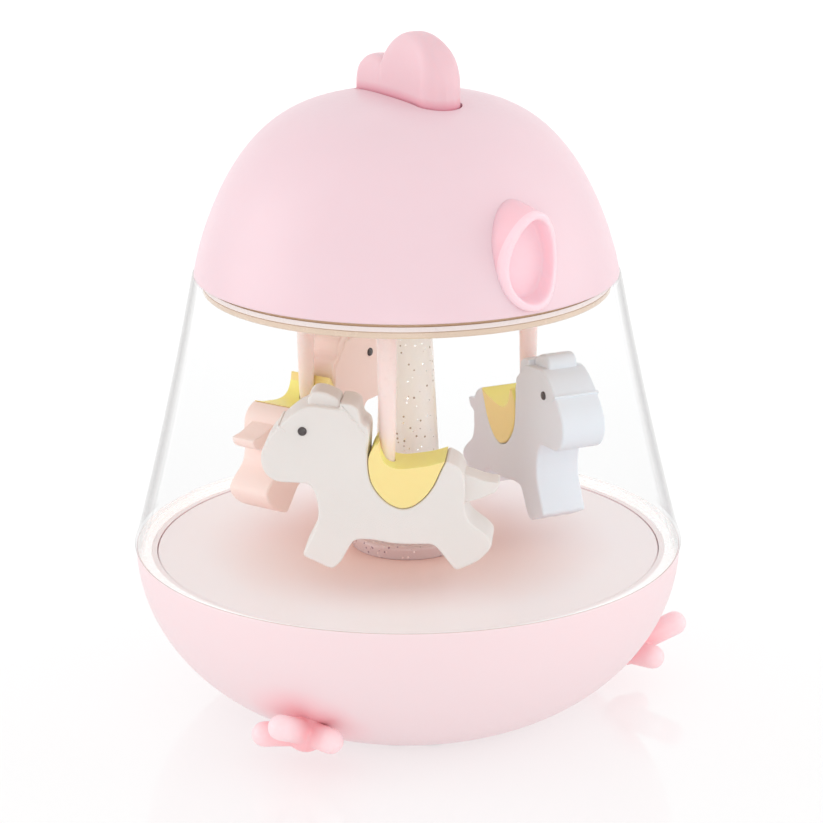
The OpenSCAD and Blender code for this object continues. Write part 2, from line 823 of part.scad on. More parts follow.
module comb_button() {
    color(deep_pink) {
        intersection() {
            comb_plan(0, comb_flange_z, 30);
            union() {
                lobe(front_lobe, 12);
                lobe(back_lobe, 12);
                slab(12, 2 * comb_half_l, comb_flange_z, shell_top_z + 39 - comb_flange_z);
            }
        }
        comb_plan(1.2, comb_flange_z, comb_flange_t);
        rod(stem_r, guide_z - 0.3, comb_flange_z - guide_z + 0.3 + eps);
    }
}

module dome_solid() {
    rotate_extrude() polygon(concat([[0, shell_top_z]], dome_profile(dome_r, dome_h)));
}

module dome_hollow() {
    translate([0, 0, -eps]) rotate_extrude()
        polygon(concat([[0, shell_top_z]], dome_profile(dome_r - wall, dome_h - wall)));
}

// the beak's oval, narrower at the top; grow moves it outwards
function oval(grow) = [for (i = [0:31]) let (t = 360 * i / 32)
    [(beak_half_w + grow) * sin(t) * (1 - 0.16 * cos(t)), (beak_half_h + grow) * cos(t)]];

// a bar with the beak's oval section, from depth a to depth b behind the beak's rim
module oval_bar(grow, a, b) {
    translate([0, b - beak_reach, beak_z]) rotate([90, 0, 0])
        linear_extrude(b - a) polygon(oval(grow));
}

// the beak's rim bows forward in the middle, as far as an upright cylinder
module beak_bow() {
    translate([0, beak_bow_r - beak_reach, beak_z - 15]) cylinder(r = beak_bow_r, h = 30);
    translate([-10, 6 - beak_reach, beak_z - 15]) cube([20, 20, 30]);
}

module head_shell() {
    color(shell_pink) difference() {
        union() {
            difference() {
                dome_solid();
                dome_hollow();
            }
            intersection() {
                dome_solid();
                for (a = leg_angles) rotate(a) translate([leg_circle_r, 0, 0])
                    rod(2.9, deck_z + deck_t, 20);
            }
        }
        for (a = leg_angles) rotate(a) translate([leg_circle_r, 0, 0]) rod(1.15, deck_z, 6.7);
        comb_plan(comb_gap, comb_flange_z, 20);
        difference() {
            oval_bar(0, 0, 20);
            dome_hollow();
        }
    }
}

module beak() {
    color(deep_pink) difference() {
        intersection() {
            oval_bar(0, 0, 20);
            beak_bow();
        }
        oval_bar(-1.9, -1, 5);
        dome_hollow();
    }
}

base_bowl();
battery_door();
door_screws();
battery_box();
batteries();
battery_contacts();
rubber_pads();
base_screws();
left_foot();
right_foot();
floor_plate();
main_board();
board_parts();
speaker_frame();
speaker_cone();
speaker_magnet();
power_switch();
switch_knob();
led_board();
leds();
wire_harness();
column_collar();
column_tube();
column_nut();
thrust_washer();
clear_shell();
carousel_disc();
hub_bush();
rotor_gear();
white_pole();
blue_pole();
pink_pole();
white_horse();
blue_horse();
pink_horse();
white_saddle();
blue_saddle();
pink_saddle();
horse_eyes();
head_chassis();
gear_deck();
head_screws();
idler_gear();
idler_pin();
gear_motor();
motor_shaft();
motor_pinion();
switch_board();
push_switch();
switch_plunger();
comb_guide();
comb_spring();
comb_button();
head_shell();
beak();
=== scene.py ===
import math

import bmesh
import bpy
from mathutils import Matrix, Vector


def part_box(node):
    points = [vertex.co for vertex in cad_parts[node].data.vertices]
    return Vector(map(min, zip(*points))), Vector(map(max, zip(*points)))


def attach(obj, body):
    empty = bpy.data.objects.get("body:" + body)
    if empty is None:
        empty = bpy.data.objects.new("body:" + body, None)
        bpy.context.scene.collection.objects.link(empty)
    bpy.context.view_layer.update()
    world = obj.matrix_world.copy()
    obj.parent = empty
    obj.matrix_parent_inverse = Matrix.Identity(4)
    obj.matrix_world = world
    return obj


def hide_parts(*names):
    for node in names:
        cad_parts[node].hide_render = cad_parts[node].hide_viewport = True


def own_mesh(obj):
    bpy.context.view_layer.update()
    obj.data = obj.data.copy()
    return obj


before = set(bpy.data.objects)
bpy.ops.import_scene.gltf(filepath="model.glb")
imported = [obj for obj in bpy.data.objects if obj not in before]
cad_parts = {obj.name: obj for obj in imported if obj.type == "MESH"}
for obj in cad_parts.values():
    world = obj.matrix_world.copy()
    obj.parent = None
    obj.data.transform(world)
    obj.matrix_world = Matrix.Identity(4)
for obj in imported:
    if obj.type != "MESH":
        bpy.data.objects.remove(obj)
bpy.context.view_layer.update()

# Sizes are in millimetres, as in the CAD part. A piece is shaped in millimetres and
# finish_piece() turns it to metres.
MM = 0.001


def box_mm(node):
    """Lowest and highest corner of a CAD node, in millimetres."""
    low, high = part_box(node)
    return low / MM, high / MM


# driving sizes, read from the frame where a node shows them
SEAM_Z = box_mm("base_bowl")[1].z
BOWL_R = box_mm("base_bowl")[1].x
RIM_Z = box_mm("head_shell")[0].z
DOME_R = box_mm("head_shell")[1].x
DOME_H = 38.3
SHELL_R = box_mm("clear_shell")[1].x
SHELL_H = RIM_Z - SEAM_Z
PLATE_TOP_Z = box_mm("floor_plate")[1].z
PLATE_R = box_mm("floor_plate")[1].x
DISC_Z = RIM_Z - 1
DISC_R = box_mm("carousel_disc")[1].x
DECK_Z = RIM_Z + 8.7
WALL = 2.2
BOWL_DEPTH = 41
BOWL_BASE_Z = 0.6
BOWL_FLOOR_Z = 3.6
POLE_CIRCLE_R = 28.8
POLE_TIP_R = 1.5
HOOF_Z = box_mm("white_horse")[0].z
HORSE_T = 10.5
HORSE_TURN = 3.5
POLE_ANGLES = {"white": -132.3, "blue": -12.3, "pink": 107.7}
THIRDS = (90, 210, 330)
LEG_CIRCLE_R = 38
EPSILON = 1e-6


def bowl_curve(z, radius=BOWL_R, depth=BOWL_DEPTH):
    """Radius at height z of a bowl whose mouth is at the seam."""
    return radius * (1 - ((SEAM_Z - z) / depth) ** 1.97) ** (1 / 2.46)


def dome_curve(part, radius=DOME_R):
    """Radius of the head dome at a part, from 0 to 1, of its height."""
    return radius * max(0.0, 1 - part ** 1.25) ** (1 / 3.53)


def shell_outer(height):
    """Outer radius of the clear shell at a height above the seam."""
    return SHELL_R - 0.268 * height + 0.0006 * height * height


# ---------- mesh tools ----------


def even(points, count):
    """The same curve through count + 1 evenly spaced points."""
    steps = [math.dist(a, b) for a, b in zip(points, points[1:])]
    total = sum(steps)
    result = []
    index = 0
    passed = 0.0
    for i in range(count + 1):
        goal = total * i / count
        while index < len(steps) - 1 and passed + steps[index] < goal:
            passed += steps[index]
            index += 1
        t = min(1.0, (goal - passed) / steps[index])
        a, b = points[index], points[index + 1]
        result.append(tuple(u + (v - u) * t for u, v in zip(a, b)))
    return result


def polar(radius, degrees, x=0, y=0):
    """The point at a radius and an angle round (x, y)."""
    a = math.radians(degrees)
    return (x + radius * math.cos(a), y + radius * math.sin(a))


def corner(x, y, radius, start, stop, count=5):
    """Points of an arc round (x, y), from angle start to stop in degrees."""
    return [polar(radius, start + (stop - start) * i / count, x, y) for i in range(count + 1)]


def lathe(profile, steps=192, centre=(0, 0)):
    """Vertices and faces of an (r, z) profile turned about an upright axis.
    The profile's last point is joined to its first."""
    verts = []
    rings = []
    for r, z in profile:
        if r < EPSILON:
            rings.append([len(verts)] * steps)
            verts.append((centre[0], centre[1], z))
            continue
        rings.append(list(range(len(verts), len(verts) + steps)))
        for i in range(steps):
            a = 2 * math.pi * i / steps
            verts.append((centre[0] + r * math.cos(a), centre[1] + r * math.sin(a), z))
    faces = []
    for low, high in zip(rings, rings[1:] + rings[:1]):
        for i in range(steps):
            j = (i + 1) % steps
            face = []
            for v in (low[i], low[j], high[j], high[i]):
                if v not in face:
                    face.append(v)
            if len(face) > 2:
                faces.append(tuple(face))
    return verts, faces


def rod(r, low, high, centre=(0, 0), steps=48):
    """A plain upright cylinder, used to cut or to add a boss."""
    return lathe([(0, low), (r, low), (r, high), (0, high)], steps, centre)


def block(low, high):
    """A box between two corners, used to cut."""
    verts = [(x, y, z) for x in (low[0], high[0]) for y in (low[1], high[1]) for z in (low[2], high[2])]
    faces = [(0, 1, 3, 2), (4, 6, 7, 5), (0, 4, 5, 1), (2, 3, 7, 6), (0, 2, 6, 4), (1, 5, 7, 3)]
    return verts, faces


def soften(corners, reach=0.45, steps=4):
    """An outline whose corners are rounded: each takes its own third value as its reach in millimetres,
    or else a share of its shorter side."""
    outline = []
    count = len(corners)
    for i in range(count):
        here = Vector(corners[i][:2])
        back = Vector(corners[i - 1][:2]) - here
        ahead = Vector(corners[(i + 1) % count][:2]) - here
        limit = reach * min(back.length, ahead.length)
        size = min(limit, corners[i][2]) if len(corners[i]) > 2 else limit
        start = here + back.normalized() * size
        stop = here + ahead.normalized() * size
        for k in range(steps + 1):
            t = k / steps
            point = start * (1 - t) ** 2 + here * (2 * t * (1 - t)) + stop * t ** 2
            outline.append((point.x, point.y))
    return outline


def loft(rings):
    """A closed mesh through rings of equal point count; the first and last ring are capped."""
    count = len(rings[0])
    verts = [point for ring in rings for point in ring]
    faces = []
    for row in range(len(rings) - 1):
        for i in range(count):
            j = (i + 1) % count
            a, b = row * count, (row + 1) * count
            faces.append((a + i, a + j, b + j, b + i))
    faces.append(tuple(range(count))[::-1])
    faces.append(tuple(range(len(verts) - count, len(verts))))
    return verts, faces


def slab(outline, half, edge, steps=4):
    """A plate with a side-view outline, half its thickness each way in Y, and edges rounded by edge."""
    count = len(outline)
    area = sum(
        outline[i - 1][0] * outline[i][1] - outline[i][0] * outline[i - 1][1] for i in range(count)
    )
    points = [Vector(p) for p in (outline if area > 0 else outline[::-1])]
    inward = []
    for i in range(count):
        before = (points[i] - points[i - 1]).normalized()
        after = (points[(i + 1) % count] - points[i]).normalized()
        normal = Vector((-before.y - after.y, before.x + after.x)).normalized()
        spread = max(0.5, normal.dot(Vector((-after.y, after.x))))
        inward.append(normal / spread)
    levels = []
    for k in range(steps + 1):
        a = math.pi / 2 * k / steps
        levels.append((edge * (1 - math.sin(a)), half - edge + edge * math.cos(a)))
    rings = []
    for inset, y in levels + [(inset, -y) for inset, y in reversed(levels)]:
        spots = [point + normal * inset for point, normal in zip(points, inward)]
        rings.append([(spot.x, y, spot.y) for spot in spots])
    return loft(rings)


def joined(*shapes):
    """Several shapes as one list of vertices and faces."""
    verts = []
    faces = []
    for shape_verts, shape_faces in shapes:
        start = len(verts)
        verts += shape_verts
        faces += [tuple(start + v for v in face) for face in shape_faces]
    return verts, faces


def solid(name, shape):
    """A mesh object, still in millimetres, with its faces turned outwards."""
    verts, faces = shape
    mesh = bpy.data.meshes.new(name)
    mesh.from_pydata(verts, [], faces)
    work = bmesh.new()
    work.from_mesh(mesh)
    bmesh.ops.recalc_face_normals(work, faces=work.faces)
    work.to_mesh(mesh)
    work.free()
    piece = bpy.data.objects.new(name, mesh)
    bpy.context.collection.objects.link(piece)
    return piece


def settle(piece):
    """Applies the piece's modifiers to its mesh."""
    bpy.context.view_layer.update()
    shaped = piece.evaluated_get(bpy.context.evaluated_depsgraph_get())
    mesh = bpy.data.meshes.new_from_object(shaped)
    piece.modifiers.clear()
    piece.data = mesh


def combine(piece, operation, *shapes):
    """Cuts shapes out of the piece, adds them, or keeps what they share with it, one after another."""
    for shape in shapes:
        tool = solid("tool", shape)
        change = piece.modifiers.new("combine", "BOOLEAN")
        change.object = tool
        change.operation = operation
        change.solver = "MANIFOLD"
        settle(piece)
        bpy.data.objects.remove(tool, do_unlink=True)


def place(piece, matrix):
    """Moves the piece's own vertices, so that its object stays at the origin."""
    piece.data.transform(matrix)


def finish_piece(piece, body, node, materials, angle=35, parts=()):
    """Turns a piece to metres, shades it, gives it its materials and ties it to the frame.
    Where it has several materials, parts says which one each face takes."""
    place(piece, Matrix.Scale(MM, 4))
    piece.data.materials.clear()
    for material in materials:
        piece.data.materials.append(material)
    piece.data.shade_smooth()
    piece.data.set_sharp_from_angle(angle=math.radians(angle))
    even_light = piece.modifiers.new("even_light", "WEIGHTED_NORMAL")
    even_light.keep_sharp = True
    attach(piece, body)
    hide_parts(node)
    for face, part in zip(piece.data.polygons, parts):
        face.material_index = part


# ---------- materials ----------


def srgb(red, green, blue):
    """A colour given as 0 to 255 screen values, as the linear colour that a shader takes."""
    def linear(value):
        value /= 255
        return value / 12.92 if value <= 0.04045 else ((value + 0.055) / 1.055) ** 2.4
    return (linear(red), linear(green), linear(blue), 1.0)


def grey(value):
    """A linear grey."""
    return (value, value, value, 1.0)


def shaded(colour, factor):
    """A colour made darker or lighter by a factor."""
    return tuple(min(1.0, value * factor) for value in colour[:3]) + (1.0,)


def shader(name):
    """A new material with its node tree, its Principled shader and its output."""
    material = bpy.data.materials.new(name)
    material.use_nodes = True
    tree = material.node_tree
    return material, tree, tree.nodes["Principled BSDF"], tree.nodes["Material Output"]


def set_inputs(node, values):
    """Sets a node's inputs, each by its name."""
    for name, value in values.items():
        node.inputs[name].default_value = value


def noise(tree, scale, detail=3):
    """Noise over the object's own coordinates; scale is in cycles per metre."""
    where = tree.nodes.new("ShaderNodeTexCoord")
    texture = tree.nodes.new("ShaderNodeTexNoise")
    set_inputs(texture, {"Scale": scale, "Detail": detail})
    tree.links.new(where.outputs["Object"], texture.inputs["Vector"])
    return texture.outputs["Fac"]


def ramp(tree, source, stops):
    """A colour ramp over source; stops are (position, colour)."""
    node = tree.nodes.new("ShaderNodeValToRGB")
    elements = node.color_ramp.elements
    while len(elements) < len(stops):
        elements.new(0.5)
    for element, (position, colour) in zip(elements, stops):
        element.position = position
        element.color = colour
    tree.links.new(source, node.inputs["Fac"])
    return node.outputs["Color"]


def math_node(tree, operation, *terms):
    """A Math node whose terms are numbers or the outputs of other nodes."""
    node = tree.nodes.new("ShaderNodeMath")
    node.operation = operation
    for socket, term in zip(node.inputs, terms):
        if isinstance(term, bpy.types.NodeSocket):
            tree.links.new(term, socket)
        else:
            socket.default_value = term
    return node.outputs[0]


def surface_grain(tree, bsdf, scale, strength, distance):
    """Fine relief from noise; distance is its depth in metres."""
    bump = tree.nodes.new("ShaderNodeBump")
    set_inputs(bump, {"Strength": strength, "Distance": distance})
    tree.links.new(noise(tree, scale, 4), bump.inputs["Height"])
    tree.links.new(bump.outputs["Normal"], bsdf.inputs["Normal"])


def plastic(name, colour, roughness=0.35, vary=0.03, glow=0.0, coat=0.0, grain=0.15, metal=0.0, painted_glow=0.0):
    """Moulded plastic: a faint cloudiness in its colour and gloss, a fine moulded grain, and some
    light carried under its surface. The last argument is how strongly it shines by itself: painted light, as
    no lamp is in it."""
    material, tree, bsdf, _ = shader(name)
    cloud_stops = [(0.3, shaded(colour, 1 - vary)), (0.7, shaded(colour, 1 + vary * 0.6))]
    tree.links.new(ramp(tree, noise(tree, 60), cloud_stops), bsdf.inputs["Base Color"])
    gloss_stops = [(0.35, grey(roughness * 0.9)), (0.65, grey(min(1, roughness * 1.12)))]
    tree.links.new(ramp(tree, noise(tree, 900), gloss_stops), bsdf.inputs["Roughness"])
    set_inputs(bsdf, {"Metallic": metal, "Coat Weight": coat, "Coat Roughness": 0.12})
    if glow:
        set_inputs(bsdf, {
            "Subsurface Weight": glow,
            "Subsurface Radius": (1.0, 0.45, 0.4),
            "Subsurface Scale": 0.004,
        })
    if painted_glow:
        set_inputs(bsdf, {"Emission Color": grey(1), "Emission Strength": painted_glow})
    surface_grain(tree, bsdf, 4000, grain, 0.00002)
    return material


def clear_plastic(name, haze_and_edge_shade_stops):
    """Clear moulded plastic. The stops say how grey it looks, from 0 seen face on to 1 seen edge on: a faint
    real cloudiness face on, and painted shade edge on for the dark band that refraction shows there.
    Light for what stands inside passes it freely."""
    material, tree, bsdf, output = shader(name)
    set_inputs(bsdf, {
        "Base Color": (0.4, 0.4, 0.41, 1),
        "Roughness": 0.03,
        "IOR": 1.49,
        "Specular IOR Level": 0.2,
    })
    through = tree.nodes.new("ShaderNodeBsdfTransparent")
    through.inputs["Color"].default_value = (0.985, 0.986, 0.986, 1)
    edge_on = tree.nodes.new("ShaderNodeLayerWeight")
    edge_on.inputs["Blend"].default_value = 0.5
    stops = [(position, grey(grey_share)) for position, grey_share in haze_and_edge_shade_stops]
    seen = tree.nodes.new("ShaderNodeMixShader")
    tree.links.new(ramp(tree, edge_on.outputs["Facing"], stops), seen.inputs["Fac"])
    tree.links.new(through.outputs[0], seen.inputs[1])
    tree.links.new(bsdf.outputs[0], seen.inputs[2])
    path = tree.nodes.new("ShaderNodeLightPath")
    lighting = math_node(tree, "MAXIMUM", path.outputs["Is Shadow Ray"], path.outputs["Is Diffuse Ray"])
    free = tree.nodes.new("ShaderNodeMixShader")
    tree.links.new(lighting, free.inputs["Fac"])
    tree.links.new(seen.outputs[0], free.inputs[1])
    tree.links.new(through.outputs[0], free.inputs[2])
    tree.links.new(free.outputs[0], output.inputs["Surface"])
    return material


def flakes(tree, scale, size, share):
    """Dots of a size, in the share of the cells of that scale that hold one."""
    where = tree.nodes.new("ShaderNodeTexCoord")
    cells = tree.nodes.new("ShaderNodeTexVoronoi")
    cells.inputs["Scale"].default_value = scale
    tree.links.new(where.outputs["Object"], cells.inputs["Vector"])
    pick = tree.nodes.new("ShaderNodeSeparateColor")
    tree.links.new(cells.outputs["Color"], pick.inputs[0])
    near = math_node(tree, "LESS_THAN", cells.outputs["Distance"], size)
    chosen = math_node(tree, "LESS_THAN", pick.outputs[0], share)
    return math_node(tree, "MULTIPLY", near, chosen)


def dotted(tree, base, dots, colour):
    """The base colour with dots of another colour over it."""
    mix = tree.nodes.new("ShaderNodeMix")
    mix.data_type = "RGBA"
    mix.inputs["B"].default_value = colour
    tree.links.new(dots, mix.inputs["Factor"])
    tree.links.new(base, mix.inputs["A"])
    return mix.outputs["Result"]


def glitter(name, colour, speck, spark, share):
    """Cloudy plastic with flakes in it, of which some are dark specks and some are bright."""
    material, tree, bsdf, _ = shader(name)
    cloud = ramp(tree, noise(tree, 90), [(0.3, shaded(colour, 0.96)), (0.7, colour)])
    dark = dotted(tree, cloud, flakes(tree, 900, 0.21, share), speck)
    sparks = flakes(tree, 1150, 0.21, share * 0.7)
    tree.links.new(dotted(tree, dark, sparks, spark), bsdf.inputs["Base Color"])
    tree.links.new(sparks, bsdf.inputs["Metallic"])
    set_inputs(bsdf, {
        "Roughness": 0.22,
        "Subsurface Weight": 0.4,
        "Subsurface Radius": (1.0, 0.8, 0.7),
        "Subsurface Scale": 0.004,
    })
    surface_grain(tree, bsdf, 2500, 0.1, 0.00003)
    return material


def folded(tree, where):
    """Coordinates whose X is always positive, so that one point on the right also stands for the left."""
    parts = tree.nodes.new("ShaderNodeSeparateXYZ")
    tree.links.new(where, parts.inputs[0])
    both = tree.nodes.new("ShaderNodeCombineXYZ")
    tree.links.new(math_node(tree, "ABSOLUTE", parts.outputs["X"]), both.inputs["X"])
    tree.links.new(parts.outputs["Y"], both.inputs["Y"])
    tree.links.new(parts.outputs["Z"], both.inputs["Z"])
    return both.outputs[0]


def tipped(name, tip, root, centre, near, far, glow=0.25, both_sides=False):
    """Plastic whose colour goes from root to tip between two distances from a centre."""
    material = plastic(name, tip, 0.4, glow=glow)
    tree = material.node_tree
    where = tree.nodes.new("ShaderNodeTexCoord").outputs["Object"]
    if both_sides:
        where = folded(tree, where)
    apart = tree.nodes.new("ShaderNodeVectorMath")
    apart.operation = "DISTANCE"
    apart.inputs[1].default_value = Vector(centre) * MM
    tree.links.new(where, apart.inputs[0])
    scaled = tree.nodes.new("ShaderNodeMapRange")
    set_inputs(scaled, {"From Min": near * MM, "From Max": far * MM})
    tree.links.new(apart.outputs["Value"], scaled.inputs["Value"])
    tint = ramp(tree, scaled.outputs[0], [(0.0, root), (1.0, tip)])
    tree.links.new(tint, tree.nodes["Principled BSDF"].inputs["Base Color"])
    return material


# painted glow: the bowl turns a deeper pink round this point above the right foot, and above the left one
# likewise
PAINTED_GLOW_CENTRE = (40.2, -23.2, 10.5)
# the comb deepens close above the dome, whose top is nearly a ball of this radius
DOME_TOP_BALL_R = 177

SHELL_PINK = plastic("shell_pink", srgb(236, 206, 213), 0.38, vary=0.015, glow=0.12, grain=0.08)
# the bowl's pink is painted light: a lighter copy of the head's pink, for the bounce from the floor, with
# the painted glow above each foot
BOWL_PINK_PAINTED_LIGHT = tipped(
    "bowl_pink_painted_light", tip=srgb(242, 218, 221), root=srgb(251, 198, 204),
    centre=PAINTED_GLOW_CENTRE, near=3, far=14.5, glow=0.12, both_sides=True,
)
# painted shade: the floor plate turns a deeper, warmer pink towards the column, for its shade and the pink
# light bounced round it
FLOOR_PINK_SHADED = tipped(
    "floor_pink_painted_shade", tip=srgb(255, 243, 243), root=srgb(246, 204, 194),
    centre=(0, 0, PLATE_TOP_Z), near=9, far=46, glow=0.1,
)
# the frosted rim shines a little by itself: painted light that lifts it from the shade of its corner
FROSTED = plastic("frosted", srgb(255, 253, 253), 0.25, vary=0.005, glow=0.2, painted_glow=0.16)
SEAM_TAN = plastic("seam_tan", srgb(206, 176, 168), 0.4)
COMB_PINK = tipped(
    "comb_pink", tip=srgb(231, 193, 200), root=srgb(226, 146, 163),
    centre=(0, 0, RIM_Z + DOME_H - DOME_TOP_BALL_R),
    near=DOME_TOP_BALL_R - 0.2, far=DOME_TOP_BALL_R + 2, glow=0.3,
)
BEAK_PINK = plastic("beak_pink", srgb(253, 214, 222), 0.36, vary=0.02, glow=0.35, grain=0.08)
# painted shade: the beak's plastic made darker, for the beak's outer side
BEAK_SIDE_SHADE = plastic("beak_side_painted_shade", srgb(249, 200, 209), 0.34, vary=0.02, glow=0.35, grain=0.08)
POLE_PINK = plastic("pole_pink", srgb(255, 230, 226), 0.3, glow=0.4)
SLEEVE_PINK = plastic("sleeve_pink", srgb(240, 196, 180), 0.4, glow=0.2)
HORSE_WHITE = plastic("horse_white", srgb(233, 227, 223), 0.55, vary=0.02, glow=0.1, grain=0.25)
HORSE_BLUE = plastic("horse_blue", srgb(231, 236, 242), 0.55, vary=0.02, glow=0.1, grain=0.25)
HORSE_PINK = plastic("horse_pink", srgb(255, 230, 222), 0.55, vary=0.02, glow=0.15, grain=0.25)
SADDLE_YELLOW = plastic("saddle_yellow", srgb(253, 228, 152), 0.45, glow=0.15)
# painted bounce light: the same plastic as the saddle, a deeper yellow, for the light that bounces inside
# the seat's trough
SADDLE_SEAT_PAINTED_BOUNCE = plastic("saddle_seat_painted_bounce", srgb(255, 243, 138), 0.45, glow=0.15)
EYE_BLACK = plastic("eye_black", srgb(70, 62, 62), 0.3)
# the grey these take edge on is painted shade for the dark band that refraction shows there
CLEAR = clear_plastic("clear", [(0, 0.01), (0.72, 0.015), (0.83, 0.5), (0.93, 0.4), (1, 0.15)])
CLEAR_INSIDE = clear_plastic("clear_inside", [(0, 0.005), (0.9, 0.015), (1, 0.3)])
SPARK = srgb(255, 255, 255)
COLUMN_GLITTER = glitter("column_glitter", srgb(255, 247, 241), srgb(178, 152, 132), SPARK, 0.34)
COLLAR_GLITTER = glitter("collar_glitter", srgb(214, 188, 186), srgb(150, 120, 130), SPARK, 0.5)
CEILING = plastic("ceiling", srgb(236, 214, 196), 0.3, glow=0.1)
BAND_TAN = plastic("band_tan", srgb(228, 204, 182), 0.25, vary=0.05, coat=0.5)
BAND_PALE = plastic("band_pale", srgb(246, 234, 230), 0.3)
BAND_BROWN = plastic("band_brown", srgb(206, 170, 132), 0.25, vary=0.05, coat=0.5)
STEEL = plastic("steel", srgb(196, 198, 202), 0.28, metal=1.0, grain=0.1)
MAGNET = plastic("magnet", srgb(88, 88, 92), 0.4, metal=0.6)
NYLON = plastic("nylon", srgb(236, 235, 228), 0.45, glow=0.1)
BRASS = plastic("brass", srgb(212, 172, 92), 0.3, metal=1.0)
RUBBER = plastic("rubber", srgb(58, 58, 60), 0.8, grain=0.5)
DARK = plastic("dark_plastic", srgb(48, 48, 52), 0.5, grain=0.3)
BOARD = plastic("board_green", srgb(44, 110, 72), 0.4, vary=0.12)
PAPER = plastic("speaker_paper", srgb(62, 60, 60), 0.85, vary=0.12, grain=0.6)
CELL = plastic("cell_wrap", srgb(84, 150, 110), 0.3, coat=0.5)
LED = plastic("led", srgb(255, 246, 214), 0.2, glow=0.4)
WIRE = plastic("wire", srgb(186, 60, 54), 0.45)

CARRIED = {
    "battery_door": SHELL_PINK, "door_screws": STEEL, "battery_box": NYLON, "batteries": CELL,
    "battery_contacts": STEEL, "rubber_pads": RUBBER, "base_screws": STEEL, "main_board": BOARD,
    "board_parts": DARK, "speaker_frame": STEEL, "speaker_cone": PAPER, "speaker_magnet": MAGNET,
    "power_switch": DARK, "switch_knob": NYLON, "led_board": NYLON, "leds": LED,
    "wire_harness": WIRE, "column_nut": STEEL, "thrust_washer": BRASS, "hub_bush": BRASS,
    "rotor_gear": NYLON, "gear_deck": NYLON, "head_screws": STEEL, "idler_gear": NYLON,
    "idler_pin": STEEL, "gear_motor": STEEL, "motor_shaft": STEEL, "motor_pinion": NYLON,
    "switch_board": BOARD, "push_switch": DARK, "switch_plunger": NYLON, "comb_guide": NYLON,
}


def dress_carried_nodes():
    """Every CAD node that stays takes its procedural material."""
    for node, material in CARRIED.items():
        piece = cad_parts[node]
        if not piece.data.materials:
            piece.data.materials.append(material)
        for index in range(len(piece.material_slots)):
            piece.material_slots[index].material = material


# ---------- base ----------

SCREW_SPOTS = [(18.6 * x, 23.2 * y) for x in (-1, 1) for y in (-1, 1)]
DOOR_HALF = (25.3, 19.3)
DOOR_LEDGE = 2
DOOR_T = 2.3
DOOR_EAR_Y = 21.3
DOOR_EAR_R = 2.9
DOOR_BOSS_R = 2.1
DOOR_HOLE_R = 0.95
DOOR_NECK_Y = 16
PADS = [(29, 0), (-29, 0), (12, 27), (-12, 27), (12, -27), (-12, -27)]
PAD_R = 2.5
SCREW_BOSS_R = 3.8
SCREW_HEAD_R = 2.5
SCREW_HOLE_R = 1.3
POST_SOCKET_R = 3.05
SPEAKER_Y = 31
SPEAKER_BOSS_R = 1.6
SPEAKER_BOSS_CIRCLE_R = 12.5
SOUND_Y = SPEAKER_Y + 2
SOUND_HOLE_R = 1.2
SOUND_CIRCLE_R = 6
SWITCH_Z = 21.5
SWITCH_HALF = (3.7, 1.5)
# the line round the seam, then the frosted steps down to the floor plate: radius and depth below the seam
SEAM_LINE_R = 59.6
RIM_OUT_R = 59.5
RIM_STEPS = [(RIM_OUT_R, 0), (59.4, 0.35), (58.6, 0.4), (58.5, 0.75), (57.7, 0.8), (57.6, 1.1), (56.6, 1.15)]
RIM_IN_R = 56.5
LEDGE_OUT_R = 55.3
LEDGE_IN_R = 53
LEDGE_LOW_Z = 29
PLATE_T = 2
PLATE_BORE_R = 4
SCREW_POST_R = 3
SPACER_R = 1.6
LIGHT_HOLE_R = 1.7
INNER_TOP_Z = 24


def bowl_outside(shrink=0.0):
    """The bowl's outer profile from its foot's edge up to the seam."""
    heights = [BOWL_BASE_Z + (SEAM_Z - BOWL_BASE_Z) * (i / 160) ** 1.6 for i in range(161)]
    return even([(bowl_curve(z) - shrink, z) for z in heights], 56)


def bowl_profile():
    """The bowl's wall, from the middle of its underside round its rim to the middle of its floor."""
    outside = bowl_outside()
    profile = [(0, BOWL_BASE_Z), (outside[0][0] - 0.8, BOWL_BASE_Z)]
    profile += [p for p in outside if BOWL_BASE_Z + 0.3 < p[1] < SEAM_Z - 0.4]
    profile += corner(BOWL_R - 0.4, SEAM_Z - 0.4, 0.4, 0, 90)
    profile += [(r, SEAM_Z - depth) for r, depth in RIM_STEPS]
    ledge_z = PLATE_TOP_Z - PLATE_T
    profile += [(RIM_IN_R, PLATE_TOP_Z), (LEDGE_OUT_R, PLATE_TOP_Z), (LEDGE_OUT_R, ledge_z)]
    profile += [(LEDGE_IN_R, ledge_z), (LEDGE_IN_R, LEDGE_LOW_Z)]
    heights = [BOWL_FLOOR_Z + (INNER_TOP_Z - BOWL_FLOOR_Z) * i / 60 for i in range(61)]
    inside = even([(bowl_curve(z, BOWL_R - WALL, BOWL_DEPTH - WALL), z) for z in heights], 24)
    return profile + inside[::-1] + [(0, BOWL_FLOOR_Z)]


def door_cuts():
    """The battery door's recess, the opening behind it, and the ears for its two screws."""
    x, y = DOOR_HALF
    cuts = [block((-x, -y, 0), (x, y, DOOR_T))]
    cuts.append(block((DOOR_LEDGE - x, DOOR_LEDGE - y, 0), (x - DOOR_LEDGE, y - DOOR_LEDGE, 5)))
    for side in (-1, 1):
        ear_y = DOOR_EAR_Y * side
        neck_y = DOOR_NECK_Y * side
        cuts += [rod(DOOR_EAR_R, 0, DOOR_T, (0, ear_y)), rod(DOOR_HOLE_R, 0, 7, (0, ear_y))]
        low = (-DOOR_EAR_R, min(ear_y, neck_y), 0)
        cuts.append(block(low, (DOOR_EAR_R, max(ear_y, neck_y), DOOR_T)))
    return cuts


